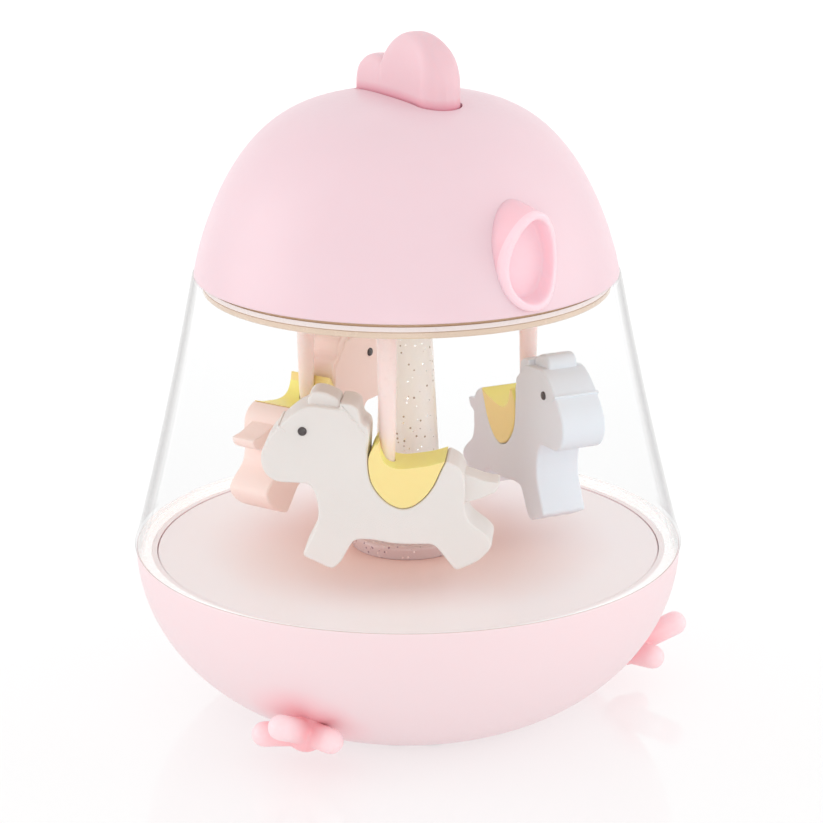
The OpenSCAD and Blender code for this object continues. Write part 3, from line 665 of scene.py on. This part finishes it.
def bowl_part(face):
    """The material of a face of the bowl: 0 pink, 1 as the floor plate, 2 frosted, 3 the seam's line."""
    r = math.hypot(face.center.x, face.center.y)
    if abs(r - SEAM_LINE_R) < 0.12 and face.center.z > SEAM_Z - 0.1:
        return 3
    if face.center.z <= PLATE_TOP_Z - 0.1 or r >= RIM_OUT_R or len(face.vertices) != 4:
        return 0
    return 2 if r > RIM_IN_R - 0.05 else 1


def make_bowl():
    """The bowl, with its bosses, screw holes, pad pockets, speaker holes and switch slot."""
    bowl = solid("bowl", lathe(bowl_profile()))
    low = BOWL_FLOOR_Z - 1
    bosses = [rod(SCREW_BOSS_R, low, 9, spot) for spot in SCREW_SPOTS]
    bosses += [rod(DOOR_BOSS_R, low, 7.6, (0, DOOR_EAR_Y * side)) for side in (-1, 1)]
    speaker_spots = [polar(SPEAKER_BOSS_CIRCLE_R, a, 0, SPEAKER_Y) for a in THIRDS]
    bosses += [rod(SPEAKER_BOSS_R, low, 17, spot) for spot in speaker_spots]
    combine(bowl, "UNION", *bosses)
    cuts = door_cuts()
    for spot in SCREW_SPOTS:
        cuts += [rod(SCREW_HEAD_R, 0, 4, spot), rod(SCREW_HOLE_R, 0, 7, spot)]
        cuts.append(rod(POST_SOCKET_R, 6, 11, spot))
    cuts += [rod(PAD_R, 0, 1.2, pad) for pad in PADS]
    sound_spots = [(0, SOUND_Y)] + [polar(SOUND_CIRCLE_R, 60 * i, 0, SOUND_Y) for i in range(6)]
    cuts += [rod(SOUND_HOLE_R, 0, 8, spot, 24) for spot in sound_spots]
    x, z = SWITCH_HALF
    cuts.append(block((-x, 50, SWITCH_Z - z), (x, 62, SWITCH_Z + z)))
    combine(bowl, "DIFFERENCE", *cuts)
    parts = [bowl_part(face) for face in bowl.data.polygons]
    materials = [BOWL_PINK_PAINTED_LIGHT, FLOOR_PINK_SHADED, FROSTED, SEAM_TAN]
    finish_piece(bowl, "base", "base_bowl", materials, parts=parts)


def make_floor_plate():
    """The pink floor, on its screw posts and two spacers, with holes for the lights."""
    top, low = PLATE_TOP_Z, PLATE_TOP_Z - PLATE_T
    profile = [(PLATE_BORE_R, low), (PLATE_R, low)] + corner(PLATE_R - 0.6, top - 0.6, 0.6, 0, 90)
    profile += corner(PLATE_BORE_R + 0.3, top - 0.3, 0.3, 90, 180, 3)
    plate = solid("floor_disc", lathe(profile))
    posts = [rod(SCREW_POST_R, 6, low + 0.5, spot) for spot in SCREW_SPOTS]
    posts += [rod(SPACER_R, 30.8, low + 0.5, (10.3 * side, 0)) for side in (-1, 1)]
    combine(plate, "UNION", *posts)
    holes = [rod(1.1, 5, low - 0.5, spot) for spot in SCREW_SPOTS]
    holes += [rod(LIGHT_HOLE_R, low - 1, top + 1, polar(7.2, a)) for a in THIRDS]
    combine(plate, "DIFFERENCE", *holes)
    finish_piece(plate, "base", "floor_plate", [FLOOR_PINK_SHADED])


# ---------- feet ----------

FOOT_ANGLE = 60
TOE_R = 2.7
TOE_ROOT = (47.8, 0, 7.5)
TOE_TIPS = [(53.2, 8, 9.2), (60, 0, 13.4), (54, -7.2, 8.3)]
PALM = (49, 0, 8.1)
PALM_R = 4.2


def shape_of(work):
    """The vertices and faces of a bmesh, which is freed."""
    work.verts.index_update()
    verts = [tuple(v.co) for v in work.verts]
    faces = [tuple(v.index for v in face.verts) for face in work.faces]
    work.free()
    return verts, faces


def ball(centre, radius):
    """A fine sphere, used as the end of a toe."""
    work = bmesh.new()
    bmesh.ops.create_icosphere(work, subdivisions=4, radius=radius, matrix=Matrix.Translation(centre))
    return shape_of(work)


def capsule(start, stop, radius):
    """The hull round two balls."""
    work = bmesh.new()
    for point in ball(start, radius)[0] + ball(stop, radius)[0]:
        work.verts.new(point)
    hull = bmesh.ops.convex_hull(work, input=work.verts)
    bmesh.ops.delete(work, geom=hull["geom_interior"], context="VERTS")
    return shape_of(work)


def make_foot(name, side):
    """Three soft toes that run together over a palm; side is 1 for +X."""
    turn = Matrix.Rotation(math.radians(-90 + side * FOOT_ANGLE), 4, "Z")
    toes = [capsule(TOE_ROOT, tip, TOE_R) for tip in TOE_TIPS]
    foot = solid(name + "_toes", joined(*toes, ball(PALM, PALM_R)))
    skin = foot.modifiers.new("skin", "REMESH")
    skin.mode = "VOXEL"
    skin.voxel_size = 0.36
    blend = foot.modifiers.new("blend", "SMOOTH")
    blend.factor = 0.6
    blend.iterations = 9
    settle(foot)
    combine(foot, "DIFFERENCE", lathe([(0, BOWL_BASE_Z)] + bowl_outside(0.15)[:40] + [(0, INNER_TOP_Z)]))
    place(foot, turn)
    toe_pink = tipped(
        name + "_pink", tip=srgb(254, 220, 224), root=srgb(252, 170, 176),
        centre=turn @ Vector(TOE_ROOT), near=1, far=12.5,
    )
    finish_piece(foot, "base", name + "_foot", [toe_pink], 60)


# ---------- clear shell, column and ceiling ----------

SHELL_FOOT_R = 57.9
SHELL_LIP_H = 5.2


def make_clear_shell():
    """The clear dome between bowl and head, standing on the frosted rim."""
    outer = even([(shell_outer(h), SEAM_Z + h) for h in (SHELL_H * i / 80 for i in range(81))], 40)
    heights = [SHELL_LIP_H + (SHELL_H - SHELL_LIP_H) * i / 80 for i in range(81)]
    inner = even([(shell_outer(h) - WALL, SEAM_Z + h) for h in heights], 36)
    top_r, top_z = outer[-1]
    profile = [(SHELL_FOOT_R, SEAM_Z + 0.05)] + corner(shell_outer(0) - 0.5, SEAM_Z + 0.55, 0.5, -90, 0, 4)
    profile += outer[1:-1] + corner(top_r - 0.3, top_z - 0.3, 0.3, 0, 90, 3) + inner[::-1]
    profile += [(SHELL_FOOT_R - 0.8, SEAM_Z + 3.2), (SHELL_FOOT_R - 0.4, SEAM_Z + 1.6)]
    shell = solid("clear_dome", lathe(profile, 256))
    parts = [int(face.center.xy.dot(face.normal.xy) < 0) for face in shell.data.polygons]
    finish_piece(shell, "base", "clear_shell", [CLEAR, CLEAR_INSIDE], 50, parts)


def make_column():
    """The glitter column, which widens towards its foot, and the darker collar round it."""
    foot_r, top_r, neck_r, bore_r = 7.8, 5.0, 3.6, 2.4
    low, neck_z, top_z = PLATE_TOP_Z, RIM_Z - 3.8, DECK_Z + 6
    profile = [(bore_r, low), (foot_r, low), (foot_r, low + 3)]
    for i in range(1, 12):
        profile.append((foot_r + (top_r - foot_r) * i / 12, low + 3 + (neck_z - low - 3) * i / 12))
    profile += corner(top_r - 0.3, neck_z - 0.3, 0.3, 0, 90, 3) + [(neck_r, neck_z)]
    profile += [(neck_r, top_z), (bore_r, top_z)]
    column = solid("glitter_column", lathe(profile, 128))
    finish_piece(column, "base", "column_tube", [COLUMN_GLITTER])
    collar_r = box_mm("column_collar")[1].x
    profile = [(foot_r, low), (collar_r - 0.2, low), (collar_r, low + 0.2)]
    profile += corner(collar_r - 0.9, low + 2.1, 0.9, 0, 90, 6)
    profile += corner(foot_r + 0.3, low + 2.7, 0.3, 90, 180, 3)
    collar = solid("glitter_collar", lathe(profile, 128))
    finish_piece(collar, "base", "column_collar", [COLLAR_GLITTER])


def at_pole(colour):
    """The matrix from a horse's own frame to the carousel: X is the way it faces."""
    turn = Matrix.Rotation(math.radians(POLE_ANGLES[colour]), 4, "Z")
    aim = Matrix.Rotation(math.radians(HORSE_TURN - 90), 4, "Z")
    return turn @ Matrix.Translation((POLE_CIRCLE_R, 0, 0)) @ aim


def pole_spot(colour):
    """Where a pole stands, in millimetres."""
    spot = at_pole(colour).translation
    return (spot.x, spot.y)


def make_disc():
    """The carousel's turning disc, with its hub and a socket for each pole."""
    hub_r, bush_r = 8, 5.5
    low, top, hub_top = RIM_Z - 3.1, DISC_Z + 2, DISC_Z + 5.3
    profile = [(bush_r, low), (hub_r - 0.4, low), (hub_r, low + 0.4), (hub_r, DISC_Z)]
    profile += corner(DISC_R - 0.5, DISC_Z + 0.5, 0.5, -90, 0, 4)
    profile += corner(DISC_R - 0.5, top - 0.5, 0.5, 0, 90, 4)
    profile += [(hub_r, top), (hub_r, hub_top), (bush_r, hub_top)]
    disc = solid("ceiling_disc", lathe(profile))
    spots = [pole_spot(colour) for colour in POLE_ANGLES]
    combine(disc, "UNION", *[rod(3.1, DISC_Z + 1, DISC_Z + 5, spot) for spot in spots])
    combine(disc, "DIFFERENCE", *[rod(1.88, DISC_Z - 1, DISC_Z + 8, spot) for spot in spots])
    finish_piece(disc, "carousel", "carousel_disc", [CEILING])


def make_ring():
    """The fixed ring round the disc, which shows as a tan band, a pale one and a brown one."""
    out_r = shell_outer(SHELL_H) - WALL - 0.1
    in_r = DISC_R + 0.6
    dome_in = DOME_R - WALL
    # radius and depth below the head's edge, down the inside and up the banded outside
    steps = [(in_r, 0.7), (in_r + 0.3, 1), (out_r - 2, 1), (out_r - 2, 3.4), (out_r - 0.3, 3.4)]
    steps += [(out_r, 3.1), (out_r, 2.15), (out_r - 0.25, 2.1), (out_r - 0.25, 2), (out_r, 1.95)]
    steps += [(out_r, 0.95), (out_r - 0.3, 0.9), (out_r - 0.3, 0), (dome_in - 0.1, 0)]
    steps += [(dome_in - 0.4, -2), (in_r, -2)]
    ring = solid("ceiling_ring", lathe([(r, RIM_Z - depth) for r, depth in steps]))
    bores = []
    for a in THIRDS:
        spot = polar(LEG_CIRCLE_R, a)
        bores += [rod(1.3, RIM_Z - 2, RIM_Z + 4, spot), rod(2.4, RIM_Z - 2, RIM_Z + 0.6, spot)]
    combine(ring, "DIFFERENCE", *bores)
    parts = []
    for face in ring.data.polygons:
        depth = RIM_Z - face.center.z
        outside = face.center.xy.length > out_r - 0.4 and depth > 0
        band = 1 + (depth <= 2.05) + (depth <= 0.93)
        parts.append(band if outside else 0)
    materials = [CEILING, BAND_TAN, BAND_PALE, BAND_BROWN]
    finish_piece(ring, "base", "head_chassis", materials, parts=parts)


# ---------- horses ----------

# Side view of a horse: x forward from the pole, y up from the hooves.
# A third value is a crisp corner's reach.
BODY = [
    (9.4, 35, 0.5), (15.9, 35.7, 1.1), (18.4, 34.4), (20.4, 32.8), (22.3, 30.9), (24.6, 28.2),
    (25.9, 25.6), (26, 22.8), (25, 20.5), (22.8, 19), (15.9, 18.8, 1.4), (14.6, 16.5), (14, 12.6),
    (14.5, 9.6), (16, 6.4), (17.7, 3, 1), (11.4, 0, 1), (9.6, 1.6), (8, 4.6), (6.7, 6.7), (3.5, 6.9),
    (-2.1, 5.9), (-10.1, 6.1, 1.4), (-12.9, 2.4), (-14.6, 0.3, 1), (-19.2, 2.5), (-21.3, 4.6),
    (-22.3, 6.6), (-20.9, 8.4, 1.2), (-17.2, 11.2, 1.2), (-16.3, 14), (-16.6, 18), (-16.2, 21.5),
    (-15, 23.2), (-12.6, 24.4, 0.7),
]
# the notch for the saddle, from back to front, then either the mane's own edge or the scallops beside it
NOTCH = [
    (-11.4, 21.9), (-10.1, 18.8), (-8.1, 16), (-5.5, 14), (-3.2, 13.5), (-0.6, 14.5), (1.6, 16.6),
    (3.2, 19.2), (3.7, 22), (3.75, 24.9),
]
MANE = [
    (3.6, 27), (3.4, 29.5), (3.6, 31, 0.7), (5.1, 32.1, 0.6), (5.4, 33.8), (5.7, 35.2, 0.7),
    (7, 36.1, 0.7), (9.4, 36.3, 0.6),
]
SCALLOPS = [
    (3.9, 26.8, 0.6), (3.7, 28.4), (4.2, 30.1), (5.5, 31.2, 0.6), (5.7, 32.4), (7.2, 33.2, 0.6),
    (7.6, 34.4), (8.6, 35, 0.6),
]
EAR = [
    (9.4, 33.5), (9.4, 36.6, 1.2), (12.4, 38.1), (14.9, 38.4, 1.2), (16.3, 36.8), (16.1, 34), (13, 32.5),
]
EAR_HALF = 3.5
TAIL = [
    (-14, 14), (-19.5, 15.6), (-22.8, 17.1, 0.9), (-23.7, 19.1, 0.9), (-20.6, 19.4), (-18, 20.4),
    (-14, 21.5),
]
TAIL_HALF = 3
# a low rib across the face, between forehead and nose
BROW = [(22.65, 30.95), (22.2, 31.5), (20.6, 30.1), (21.1, 29.6)]
# the trough across the saddle
SEAT = [
    (-14, 30), (-13.4, 24.7), (-12.4, 24.3), (-9.4, 23.3), (-6.4, 22.8), (-3.6, 22.4), (-1.4, 22.6),
    (0.1, 23.5), (1.1, 25.4), (1.5, 27.4), (1.5, 30),
]
SADDLE_TOP = [(2.2, 27.5, 0.5), (1.3, 27.8, 0.3), (-12.9, 27.8, 0.3), (-12.5, 24.4)]
SADDLE_CENTRE = Vector((-4.4, 26))
SADDLE_SHRINK = 0.985
EYE = (17.2, 30.2)
EYE_R = 0.95
EDGE = 0.5


def make_horse(colour, material):
    """A horse's body, its mane set back a little, and a narrower ear and tail."""
    half = HORSE_T / 2
    horse = solid(colour + "_horse_figure", slab(soften(BODY + NOTCH + SCALLOPS), half, EDGE))
    mane = slab(soften(BODY + NOTCH + MANE), half - 0.3, EDGE)
    ear = slab(soften(EAR), EAR_HALF, 0.6)
    tail = slab(soften(TAIL), TAIL_HALF, 0.3)
    combine(horse, "UNION", mane, ear, tail, slab(soften(BROW), half + 0.12, 0.1))
    place(horse, at_pole(colour) @ Matrix.Translation((0, 0, HOOF_Z)))
    finish_piece(horse, "carousel", colour + "_horse", [material])


def make_saddle(colour):
    """A saddle a hair inside its notch, with a trough for a seat and a loose hole for the pole."""
    outline = [tuple(SADDLE_CENTRE + (Vector(p) - SADDLE_CENTRE) * SADDLE_SHRINK) for p in NOTCH]
    outline = soften(outline + SADDLE_TOP)
    saddle = solid(colour + "_saddle_plate", slab(outline, HORSE_T / 2 + 0.06, 0.3))
    combine(saddle, "DIFFERENCE", slab(soften(SEAT), HORSE_T, 0.1), rod(POLE_TIP_R + 0.2, 10, 40))
    # faces that look upwards take the seat's deeper yellow, painted bounce light
    parts = [int(face.normal.z > 0.3 and abs(face.normal.y) < 0.3) for face in saddle.data.polygons]
    place(saddle, at_pole(colour) @ Matrix.Translation((0, 0, HOOF_Z)))
    materials = [SADDLE_YELLOW, SADDLE_SEAT_PAINTED_BOUNCE]
    finish_piece(saddle, "carousel", colour + "_saddle", materials, parts=parts)


def make_pole(colour):
    """A pole that widens from the saddle up, with a short sleeve under the ceiling."""
    foot_z, seat_z, top_z = HOOF_Z + 17, HOOF_Z + 22.5, DISC_Z + 5
    swell, peg_r, sleeve_r = 0.68, 1.87, 2.45
    profile = [(0, foot_z), (POLE_TIP_R, foot_z), (POLE_TIP_R, seat_z)]
    for i in range(1, 13):
        t = i / 12
        profile.append((POLE_TIP_R + swell * t ** 0.55, seat_z + (DISC_Z - seat_z) * t))
    profile += [(peg_r, DISC_Z - 0.01), (peg_r, top_z), (0, top_z)]
    low, high = DISC_Z - 2.6, DISC_Z - 0.02
    sleeve = [(1.8, low), (sleeve_r - 0.15, low), (sleeve_r - 0.03, low + 0.15)]
    sleeve += [(sleeve_r, high), (1.8, high)]
    spot = pole_spot(colour)
    pole = solid(colour + "_rod", lathe(profile, 48, spot))
    combine(pole, "UNION", lathe(sleeve, 48, spot))
    parts = []
    for face in pole.data.polygons:
        parts.append(int((face.center.xy - Vector(spot)).length > 2.2 and face.center.z > low - 0.1))
    finish_piece(pole, "carousel", colour + "_pole", [POLE_PINK, SLEEVE_PINK], parts=parts)


def make_eyes():
    """Low black buttons, one on each side of every head."""
    profile = [(0, -0.6), (EYE_R, -0.6), (EYE_R, 0.05)] + corner(EYE_R - 0.3, 0.05, 0.3, 0, 90, 4)
    profile += [(0.4, 0.42), (0, 0.45)]
    verts, faces = lathe(profile, 32)
    eyes = []
    for colour in POLE_ANGLES:
        for side in (-1, 1):
            spot = (EYE[0], side * HORSE_T / 2, HOOF_Z + EYE[1])
            stand = at_pole(colour) @ Matrix.Translation(spot)
            stand = stand @ Matrix.Rotation(-side * math.pi / 2, 4, "X")
            eyes.append(([tuple(stand @ Vector(v)) for v in verts], faces))
    piece = solid("eyes", joined(*eyes))
    finish_piece(piece, "carousel", "horse_eyes", [EYE_BLACK])


# ---------- head ----------

COMB_HALF_L = 16.6
COMB_FRONT_R = 4.7
COMB_BACK_R = 3.0
COMB_FRONT_Y = COMB_FRONT_R - COMB_HALF_L
COMB_BACK_Y = COMB_HALF_L - COMB_BACK_R
# each lobe's radius, its centre's y, and the height of that centre
FRONT_LOBE = (11.5, -5, RIM_Z + 40.7)
BACK_LOBE = (7.6, 9.4, RIM_Z + 38.2)
LOBE_NOTCH_Y = 5.4
COMB_WALL_Z = RIM_Z + 36.5
COMB_FLANGE_Z = RIM_Z + 32.6
GUIDE_Z = RIM_Z + 25.2
BEAK_Z = RIM_Z + 11.1
BEAK_REACH = 47.1
BEAK_HALF_W = 7.2
BEAK_HALF_H = 10.4
BEAK_POINTS = 96
BEAK_SIDE_ROWS = 4


def comb_plan(grow, steps=24):
    """The comb seen from above: a wide round front and a narrower round back, joined by tangents."""
    lean = math.degrees(math.asin((COMB_FRONT_R - COMB_BACK_R) / (COMB_BACK_Y - COMB_FRONT_Y)))
    front = corner(0, COMB_FRONT_Y, COMB_FRONT_R + grow, 180 - lean, 360 + lean, steps)
    back = corner(0, COMB_BACK_Y, COMB_BACK_R + grow, lean, 180 - lean, steps)
    return front + back


def upright(plan, low, high):
    """A flat plan raised from low to high."""
    return loft([[(x, y, low) for x, y in plan], [(x, y, high) for x, y in plan]])


def comb_half_width(y):
    """Half the comb's width at y."""
    share = (y - COMB_FRONT_Y) / (COMB_BACK_Y - COMB_FRONT_Y)
    if share < 0:
        return math.sqrt(max(0, COMB_FRONT_R ** 2 - (y - COMB_FRONT_Y) ** 2))
    if share > 1:
        return math.sqrt(max(0, COMB_BACK_R ** 2 - (y - COMB_BACK_Y) ** 2))
    return COMB_FRONT_R + (COMB_BACK_R - COMB_FRONT_R) * share


def comb_top(x_share, y):
    """Height of the comb's two lobes at y, at a share of the half width."""
    fall = max(0, 1 - abs(x_share) ** 3.4) ** (1 / 2.6)
    heights = []
    for radius, centre, level in (FRONT_LOBE, BACK_LOBE):
        reach = radius ** 2 - (y - centre) ** 2
        heights.append(level + math.sqrt(reach) * fall if reach > 0 else RIM_Z + 37)
    high, low = max(heights), min(heights)
    return high + 0.5 * math.exp(-(high - low) / 0.6)


def make_comb():
    """The comb: two round lobes, pinched a little between them, over a flange and a guide pin."""
    rows, across = 110, 40
    low = COMB_FLANGE_Z + 0.6
    rings = []
    for i in range(rows + 1):
        y = -(COMB_HALF_L - 0.02) * math.cos(math.pi * i / rows)
        half = comb_half_width(y)
        pinch = 1 - 0.1 * math.exp(-((y - LOBE_NOTCH_Y) / 1.1) ** 2)
        ring = [(-half, y, low), (-half, y, COMB_WALL_Z)]
        for k in range(1, across):
            share = -math.cos(math.pi * k / across)
            ring.append((half * share * pinch, y, comb_top(share, y)))
        ring += [(half, y, COMB_WALL_Z), (half, y, low)]
        rings.append(ring)
    comb = solid("comb", loft(rings))
    combine(comb, "UNION", upright(comb_plan(1.2), COMB_FLANGE_Z, COMB_FLANGE_Z + 1.6))
    combine(comb, "UNION", rod(2.5, GUIDE_Z - 0.3, COMB_FLANGE_Z + 0.2))
    finish_piece(comb, "comb", "comb_button", [COMB_PINK], 50)


def make_spring():
    """The comb's coil spring, at its resting length."""
    turns, coil_r, wire_r, gap = 4, 4.2, 0.35, 0.02
    low = GUIDE_Z + 1.5
    height = COMB_FLANGE_Z - low
    count = turns * 36
    rings = []
    for i in range(count + 1):
        a = math.radians(10 * i)
        centre_z = low + wire_r + gap + (height - 2 * (wire_r + gap)) * i / count
        ring = []
        for k in range(10):
            b = math.radians(36 * k)
            r = coil_r + wire_r * math.cos(b)
            ring.append((r * math.cos(a), r * math.sin(a), centre_z + wire_r * math.sin(b)))
        rings.append(ring)
    spring = solid("comb_coil", loft(rings))
    finish_piece(spring, "base", "comb_spring", [STEEL], 60)
    spring.modifiers.clear()
    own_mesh(spring)


def oval(grow):
    """The beak's outline from in front: x and height about its middle, narrower at the top."""
    points = []
    for i in range(BEAK_POINTS):
        a = 2 * math.pi * i / BEAK_POINTS
        x = (BEAK_HALF_W + grow) * math.sin(a) * (1 - 0.16 * math.cos(a))
        points.append((x, (BEAK_HALF_H + grow) * math.cos(a)))
    return points


def beak_ring(grow, depth):
    """One ring of the beak at a depth behind its bowed rim."""
    ring = []
    for x, height in oval(grow):
        bow = 10 - math.sqrt(max(0, 100 - x * x))
        share = max(0.0, 1 - max(0, depth - 1) / 6)
        ring.append((x, depth - BEAK_REACH + bow * share, BEAK_Z + height))
    return ring


def make_beak():
    """The beak, a hollow cup whose outer side is painted a darker pink than its rim, as painted shade."""
    # how far each ring stands outside the oval, and its depth: up the side, over the rim, into the cup
    rows = [(0.9, 12), (0.75, 8), (0.35, 5), (0.0, 3), (-0.12, 1.6)]
    for k in range(1, 10):
        a = math.pi * k / 10
        rows.append((-0.95 + 0.83 * math.cos(a), 0.85 - 0.85 * math.sin(a)))
    rows += [(-1.85, 1.4), (-2.0, 2.6), (-2.2, 3.8)]
    for k in range(1, 5):
        a = math.pi / 2 * k / 4
        rows.append((-3.1 + 0.9 * math.cos(a), 3.9 + 0.9 * math.sin(a)))
    rows += [(-4.6, 4.85), (-6.4, 4.9)]
    beak = solid("beak_cup", loft([beak_ring(grow, depth) for grow, depth in rows]))
    # the first rows, the outer side, take the painted shade
    side_faces = BEAK_SIDE_ROWS * BEAK_POINTS
    parts = [int(face.index < side_faces) for face in beak.data.polygons]
    finish_piece(beak, "base", "beak", [BEAK_PINK, BEAK_SIDE_SHADE], 60, parts)


def dome_profile(inset=0.0):
    """The dome's profile from its rim to its top, or the same inside it by an inset."""
    height = DOME_H - inset
    heights = [math.sin(math.pi / 2 * (i / 400) ** 0.8) for i in range(401)]
    curve = [(dome_curve(part, DOME_R - inset), RIM_Z + height * part) for part in heights]
    curve[-1] = (0, RIM_Z + height)
    return even(curve, 70)


def head_bosses(inside):
    """The three screw bosses, cut to reach just into the dome's wall."""
    posts = [rod(2.9, DECK_Z + 2, DECK_Z + 26, polar(LEG_CIRCLE_R, a)) for a in THIRDS]
    tool = solid("bosses", joined(*posts))
    dome = [(0, RIM_Z + 5)] + [p for p in inside if p[1] > RIM_Z + 5]
    combine(tool, "INTERSECT", lathe([(r + 1 if r > 0 else 0, z + 1) for r, z in dome]))
    verts = [tuple(v.co) for v in tool.data.vertices]
    faces = [tuple(face.vertices) for face in tool.data.polygons]
    bpy.data.objects.remove(tool, do_unlink=True)
    return verts, faces


def make_head():
    """The head's shell, with its bosses, the comb's slot and the hole behind the beak."""
    outside = dome_profile()
    inside = dome_profile(WALL)
    lip = corner(DOME_R - 0.5, RIM_Z + 0.5, 0.5, -90, -20, 4)
    profile = lip + [p for p in outside if p[1] > RIM_Z + 0.5] + inside[::-1]
    head = solid("head_dome", lathe(profile, 256))
    combine(head, "UNION", head_bosses(inside))
    slot = upright(comb_plan(0.45), COMB_FLANGE_Z - 0.2, RIM_Z + 52)
    hole = loft([[(x, y, BEAK_Z + height) for x, height in oval(-0.15)] for y in (-50, -30)])
    combine(head, "DIFFERENCE", slot, hole)
    finish_piece(head, "base", "head_shell", [SHELL_PINK], 40)


# ---------- stage ----------


def make_floor():
    """A pale glossy floor that glows a little, as on a light table."""
    half = 3000
    corners = [(-half, -half, 0), (half, -half, 0), (half, half, 0), (-half, half, 0)]
    floor = solid("floor", (corners, [(0, 1, 2, 3)]))
    place(floor, Matrix.Scale(MM, 4))
    material, _, bsdf, _ = shader("floor_white")
    set_inputs(bsdf, {
        "Base Color": grey(0.42),
        "Roughness": 0.07,
        "Emission Color": grey(1),
        "Emission Strength": 0.5,
    })
    floor.data.materials.append(material)


def make_sky():
    """A white sky, brighter at the horizon than overhead."""
    world = bpy.data.worlds.new("sky")
    bpy.context.scene.world = world
    world.use_nodes = True
    tree = world.node_tree
    sky = tree.nodes["Background"]
    sky.inputs["Color"].default_value = grey(1)
    where = tree.nodes.new("ShaderNodeTexCoord")
    parts = tree.nodes.new("ShaderNodeSeparateXYZ")
    tree.links.new(where.outputs["Generated"], parts.inputs[0])
    fade = tree.nodes.new("ShaderNodeMapRange")
    set_inputs(fade, {"From Min": 0.0, "From Max": 1.0, "To Min": 1.2, "To Max": 0.82})
    tree.links.new(parts.outputs["Z"], fade.inputs["Value"])
    tree.links.new(fade.outputs[0], sky.inputs["Strength"])


def lamp(name, spot, target_z, size, power):
    """A round soft lamp, aimed at a height on the object's axis; lengths are in metres, power in watts."""
    data = bpy.data.lights.new(name, "AREA")
    data.shape = "DISK"
    data.size = size
    data.energy = power
    item = bpy.data.objects.new(name, data)
    item.location = spot
    item.rotation_euler = (Vector((0, 0, target_z)) - Vector(spot)).to_track_quat("-Z", "Y").to_euler()
    bpy.context.collection.objects.link(item)


def make_camera():
    """The photograph's viewing angle: a long lens, a little above the object and off its front."""
    distance = 0.612
    side = math.radians(34)
    rise = math.radians(19.3)
    swing = math.radians(0.09)
    pitch = math.radians(16.73)
    roll = math.radians(-0.275)
    level = Vector((math.sin(side), math.cos(side), 0))
    seam = Vector((0, 0, SEAM_Z * MM))
    spot = seam - level * distance * math.cos(rise) + Vector((0, 0, distance * math.sin(rise)))
    ahead = Vector((math.sin(side + swing), math.cos(side + swing), 0)) * math.cos(pitch)
    ahead.z = -math.sin(pitch)
    turned = ahead.to_track_quat("-Z", "Y").to_matrix().to_4x4()
    data = bpy.data.cameras.new("camera")
    data.lens = 120.9
    data.sensor_width = 36
    data.clip_start = 0.01
    camera = bpy.data.objects.new("camera", data)
    camera.matrix_world = Matrix.Translation(spot) @ turned @ Matrix.Rotation(roll, 4, "Z")
    bpy.context.collection.objects.link(camera)
    bpy.context.scene.camera = camera


dress_carried_nodes()
make_bowl()
make_floor_plate()
make_foot("left", -1)
make_foot("right", 1)
make_clear_shell()
make_column()
make_disc()
make_ring()
for horse_colour, coat in (("white", HORSE_WHITE), ("blue", HORSE_BLUE), ("pink", HORSE_PINK)):
    make_horse(horse_colour, coat)
    make_saddle(horse_colour)
    make_pole(horse_colour)
make_eyes()
make_comb()
make_spring()
make_beak()
make_head()
make_floor()
make_sky()
lamp("right", (1.0, -0.67, 0.4), 0.07, 0.9, 2.3)
lamp("left", (-1.0, 0.67, 0.4), 0.07, 0.9, 2.4)
lamp("front", (-0.65, -0.97, 0.14), 0.06, 0.4, 1.1)
make_camera()
bpy.context.scene.view_settings.view_transform = "Standard"
